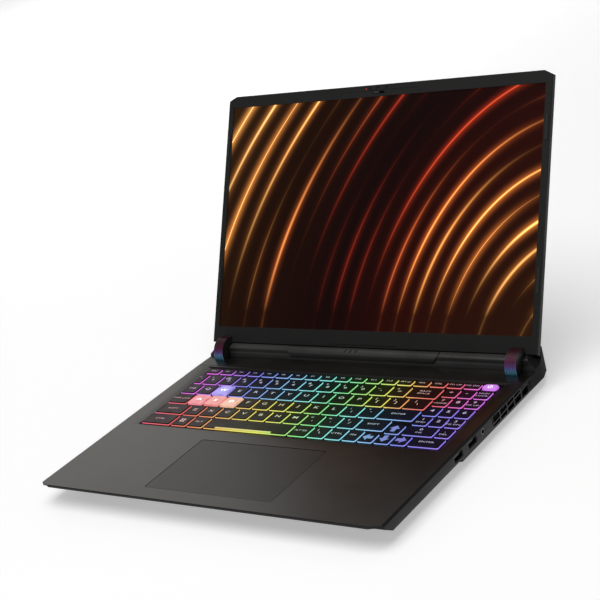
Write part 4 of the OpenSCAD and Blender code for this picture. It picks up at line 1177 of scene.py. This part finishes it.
class LAPTOP_OT_sockets(bpy.types.Operator):
    """Finish the sockets"""

    bl_idname = "laptop.sockets"
    bl_label = "Sockets"

    def execute(self, context):
        shell = brushed("Socket steel", (0.07, 0.07, 0.072), 0.35)
        black = grained("Socket moulding", (0.015, 0.015, 0.016), 0.4, 0.02 * MM, 1500)
        for nodes, material in (
            (("usb_sockets", "usb_c_sockets", "hdmi_socket"), shell),
            (("audio_jack", "ethernet_socket", "power_inlet"), black),
        ):
            for node in nodes:
                dress(node, material, 0.12 * MM, 1)
        collar = brushed("Jack collar", (0.2, 0.2, 0.21), 0.4)
        low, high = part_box("audio_jack")
        middle = (low + high) / 2
        bm = bmesh.new()
        loft(bm, [
            [(high.x + out, middle.y + y, middle.z + z) for y, z in circle(radius, 36)]
            for radius, out in COLLAR
        ], closed=False)
        new_piece("jack_collar", bm, [collar], BASE)
        return {"FINISHED"}


# ---------- stage ----------

FLOOR_REACH = 8.0
# Name, place, size, power, spread in degrees, and the point that the light faces
SOFTBOXES = (
    ("Overhead softbox", (0.1, -0.5, 2.0), 2.0, 26.0, 180, (0, 0, 0)),
    ("Left softbox", (-1.18, 0.63, 0.58), 0.7, 1.0, 180, (-0.12, -0.12, 0)),
    ("Back softbox", (-1.7, 2.1, 2.6), 2.4, 14.0, 64, (-1.7, 2.1, 0)),
)


class LAPTOP_OT_stage(bpy.types.Operator):
    """Make the floor, the lights and the camera"""

    bl_idname = "laptop.stage"
    bl_label = "Stage"

    def execute(self, context):
        look = context.scene.laptop_stage
        scene = context.scene
        scene.view_settings.view_transform = "Standard"
        scene.view_settings.look = "None"

        floor_mesh = bpy.data.meshes.new("floor")
        corners = [
            (x * FLOOR_REACH, y * FLOOR_REACH, 0) for x, y in ((-1, -1), (1, -1), (1, 1), (-1, 1))
        ]
        floor_mesh.from_pydata(corners, [], [(0, 1, 2, 3)])
        floor = bpy.data.objects.new("floor", floor_mesh)
        paper = Finish("Floor", look.floor_color, 0.8, Specular_IOR_Level=0.1)
        paper.shine((1, 1, 1), look.floor_lift)
        floor_mesh.materials.append(paper.material)
        scene.collection.objects.link(floor)

        world = bpy.data.worlds.new("Studio")
        world.use_nodes = True
        background = world.node_tree.nodes["Background"]
        background.inputs["Color"].default_value = (1, 1, 1, 1)
        background.inputs["Strength"].default_value = look.sky
        scene.world = world

        for name, place, size, power, spread, target in SOFTBOXES:
            light = bpy.data.lights.new(name, "AREA")
            light.size = size
            light.energy = power
            light.spread = math.radians(spread)
            holder = bpy.data.objects.new(name, light)
            holder.location = place
            aim = Vector(target) - Vector(place)
            holder.rotation_euler = aim.to_track_quat("-Z", "Y").to_euler()
            scene.collection.objects.link(holder)

        camera = bpy.data.cameras.new("Camera")
        camera.lens = look.lens
        camera.sensor_width = 36
        camera.clip_start = 0.01
        holder = bpy.data.objects.new("Camera", camera)
        holder.location = look.camera_place
        holder.rotation_euler = look.camera_turn
        scene.collection.objects.link(holder)
        scene.camera = holder
        return {"FINISHED"}


# ---------- panel and registration ----------

OPERATORS = (
    LAPTOP_OT_stage, LAPTOP_OT_base_shells, LAPTOP_OT_inner_parts, LAPTOP_OT_keyboard,
    LAPTOP_OT_hinges, LAPTOP_OT_lid, LAPTOP_OT_screen, LAPTOP_OT_sockets,
)
SETTINGS = {
    "laptop_shell": LaptopShellSettings,
    "laptop_keys": LaptopKeySettings,
    "laptop_screen": LaptopScreenSettings,
    "laptop_stage": LaptopStageSettings,
}


class LAPTOP_PT_dresser(bpy.types.Panel):
    """Lists the operators and their settings in the sidebar"""

    bl_idname = "LAPTOP_PT_dresser"
    bl_label = "Laptop Dresser"
    bl_space_type = "VIEW_3D"
    bl_region_type = "UI"
    bl_category = "Laptop"

    def draw(self, context):
        for name, kind in SETTINGS.items():
            box = self.layout.box()
            for field in kind.__annotations__:
                box.prop(getattr(context.scene, name), field)
        for operator in OPERATORS:
            self.layout.operator(operator.bl_idname)


def register():
    """Registers the settings, the operators and the panel"""
    for kind in (*SETTINGS.values(), *OPERATORS, LAPTOP_PT_dresser):
        bpy.utils.register_class(kind)
    for name, kind in SETTINGS.items():
        setattr(bpy.types.Scene, name, PointerProperty(type=kind))


def unregister():
    """Takes them away again"""
    for name in SETTINGS:
        delattr(bpy.types.Scene, name)
    for kind in (LAPTOP_PT_dresser, *reversed(OPERATORS), *SETTINGS.values()):
        bpy.utils.unregister_class(kind)


def main():
    """Builds the laptop and its stage"""
    register()
    for operator in OPERATORS:
        group, name = operator.bl_idname.split(".")
        getattr(getattr(bpy.ops, group), name)()


if __name__ == "__main__":
    main()
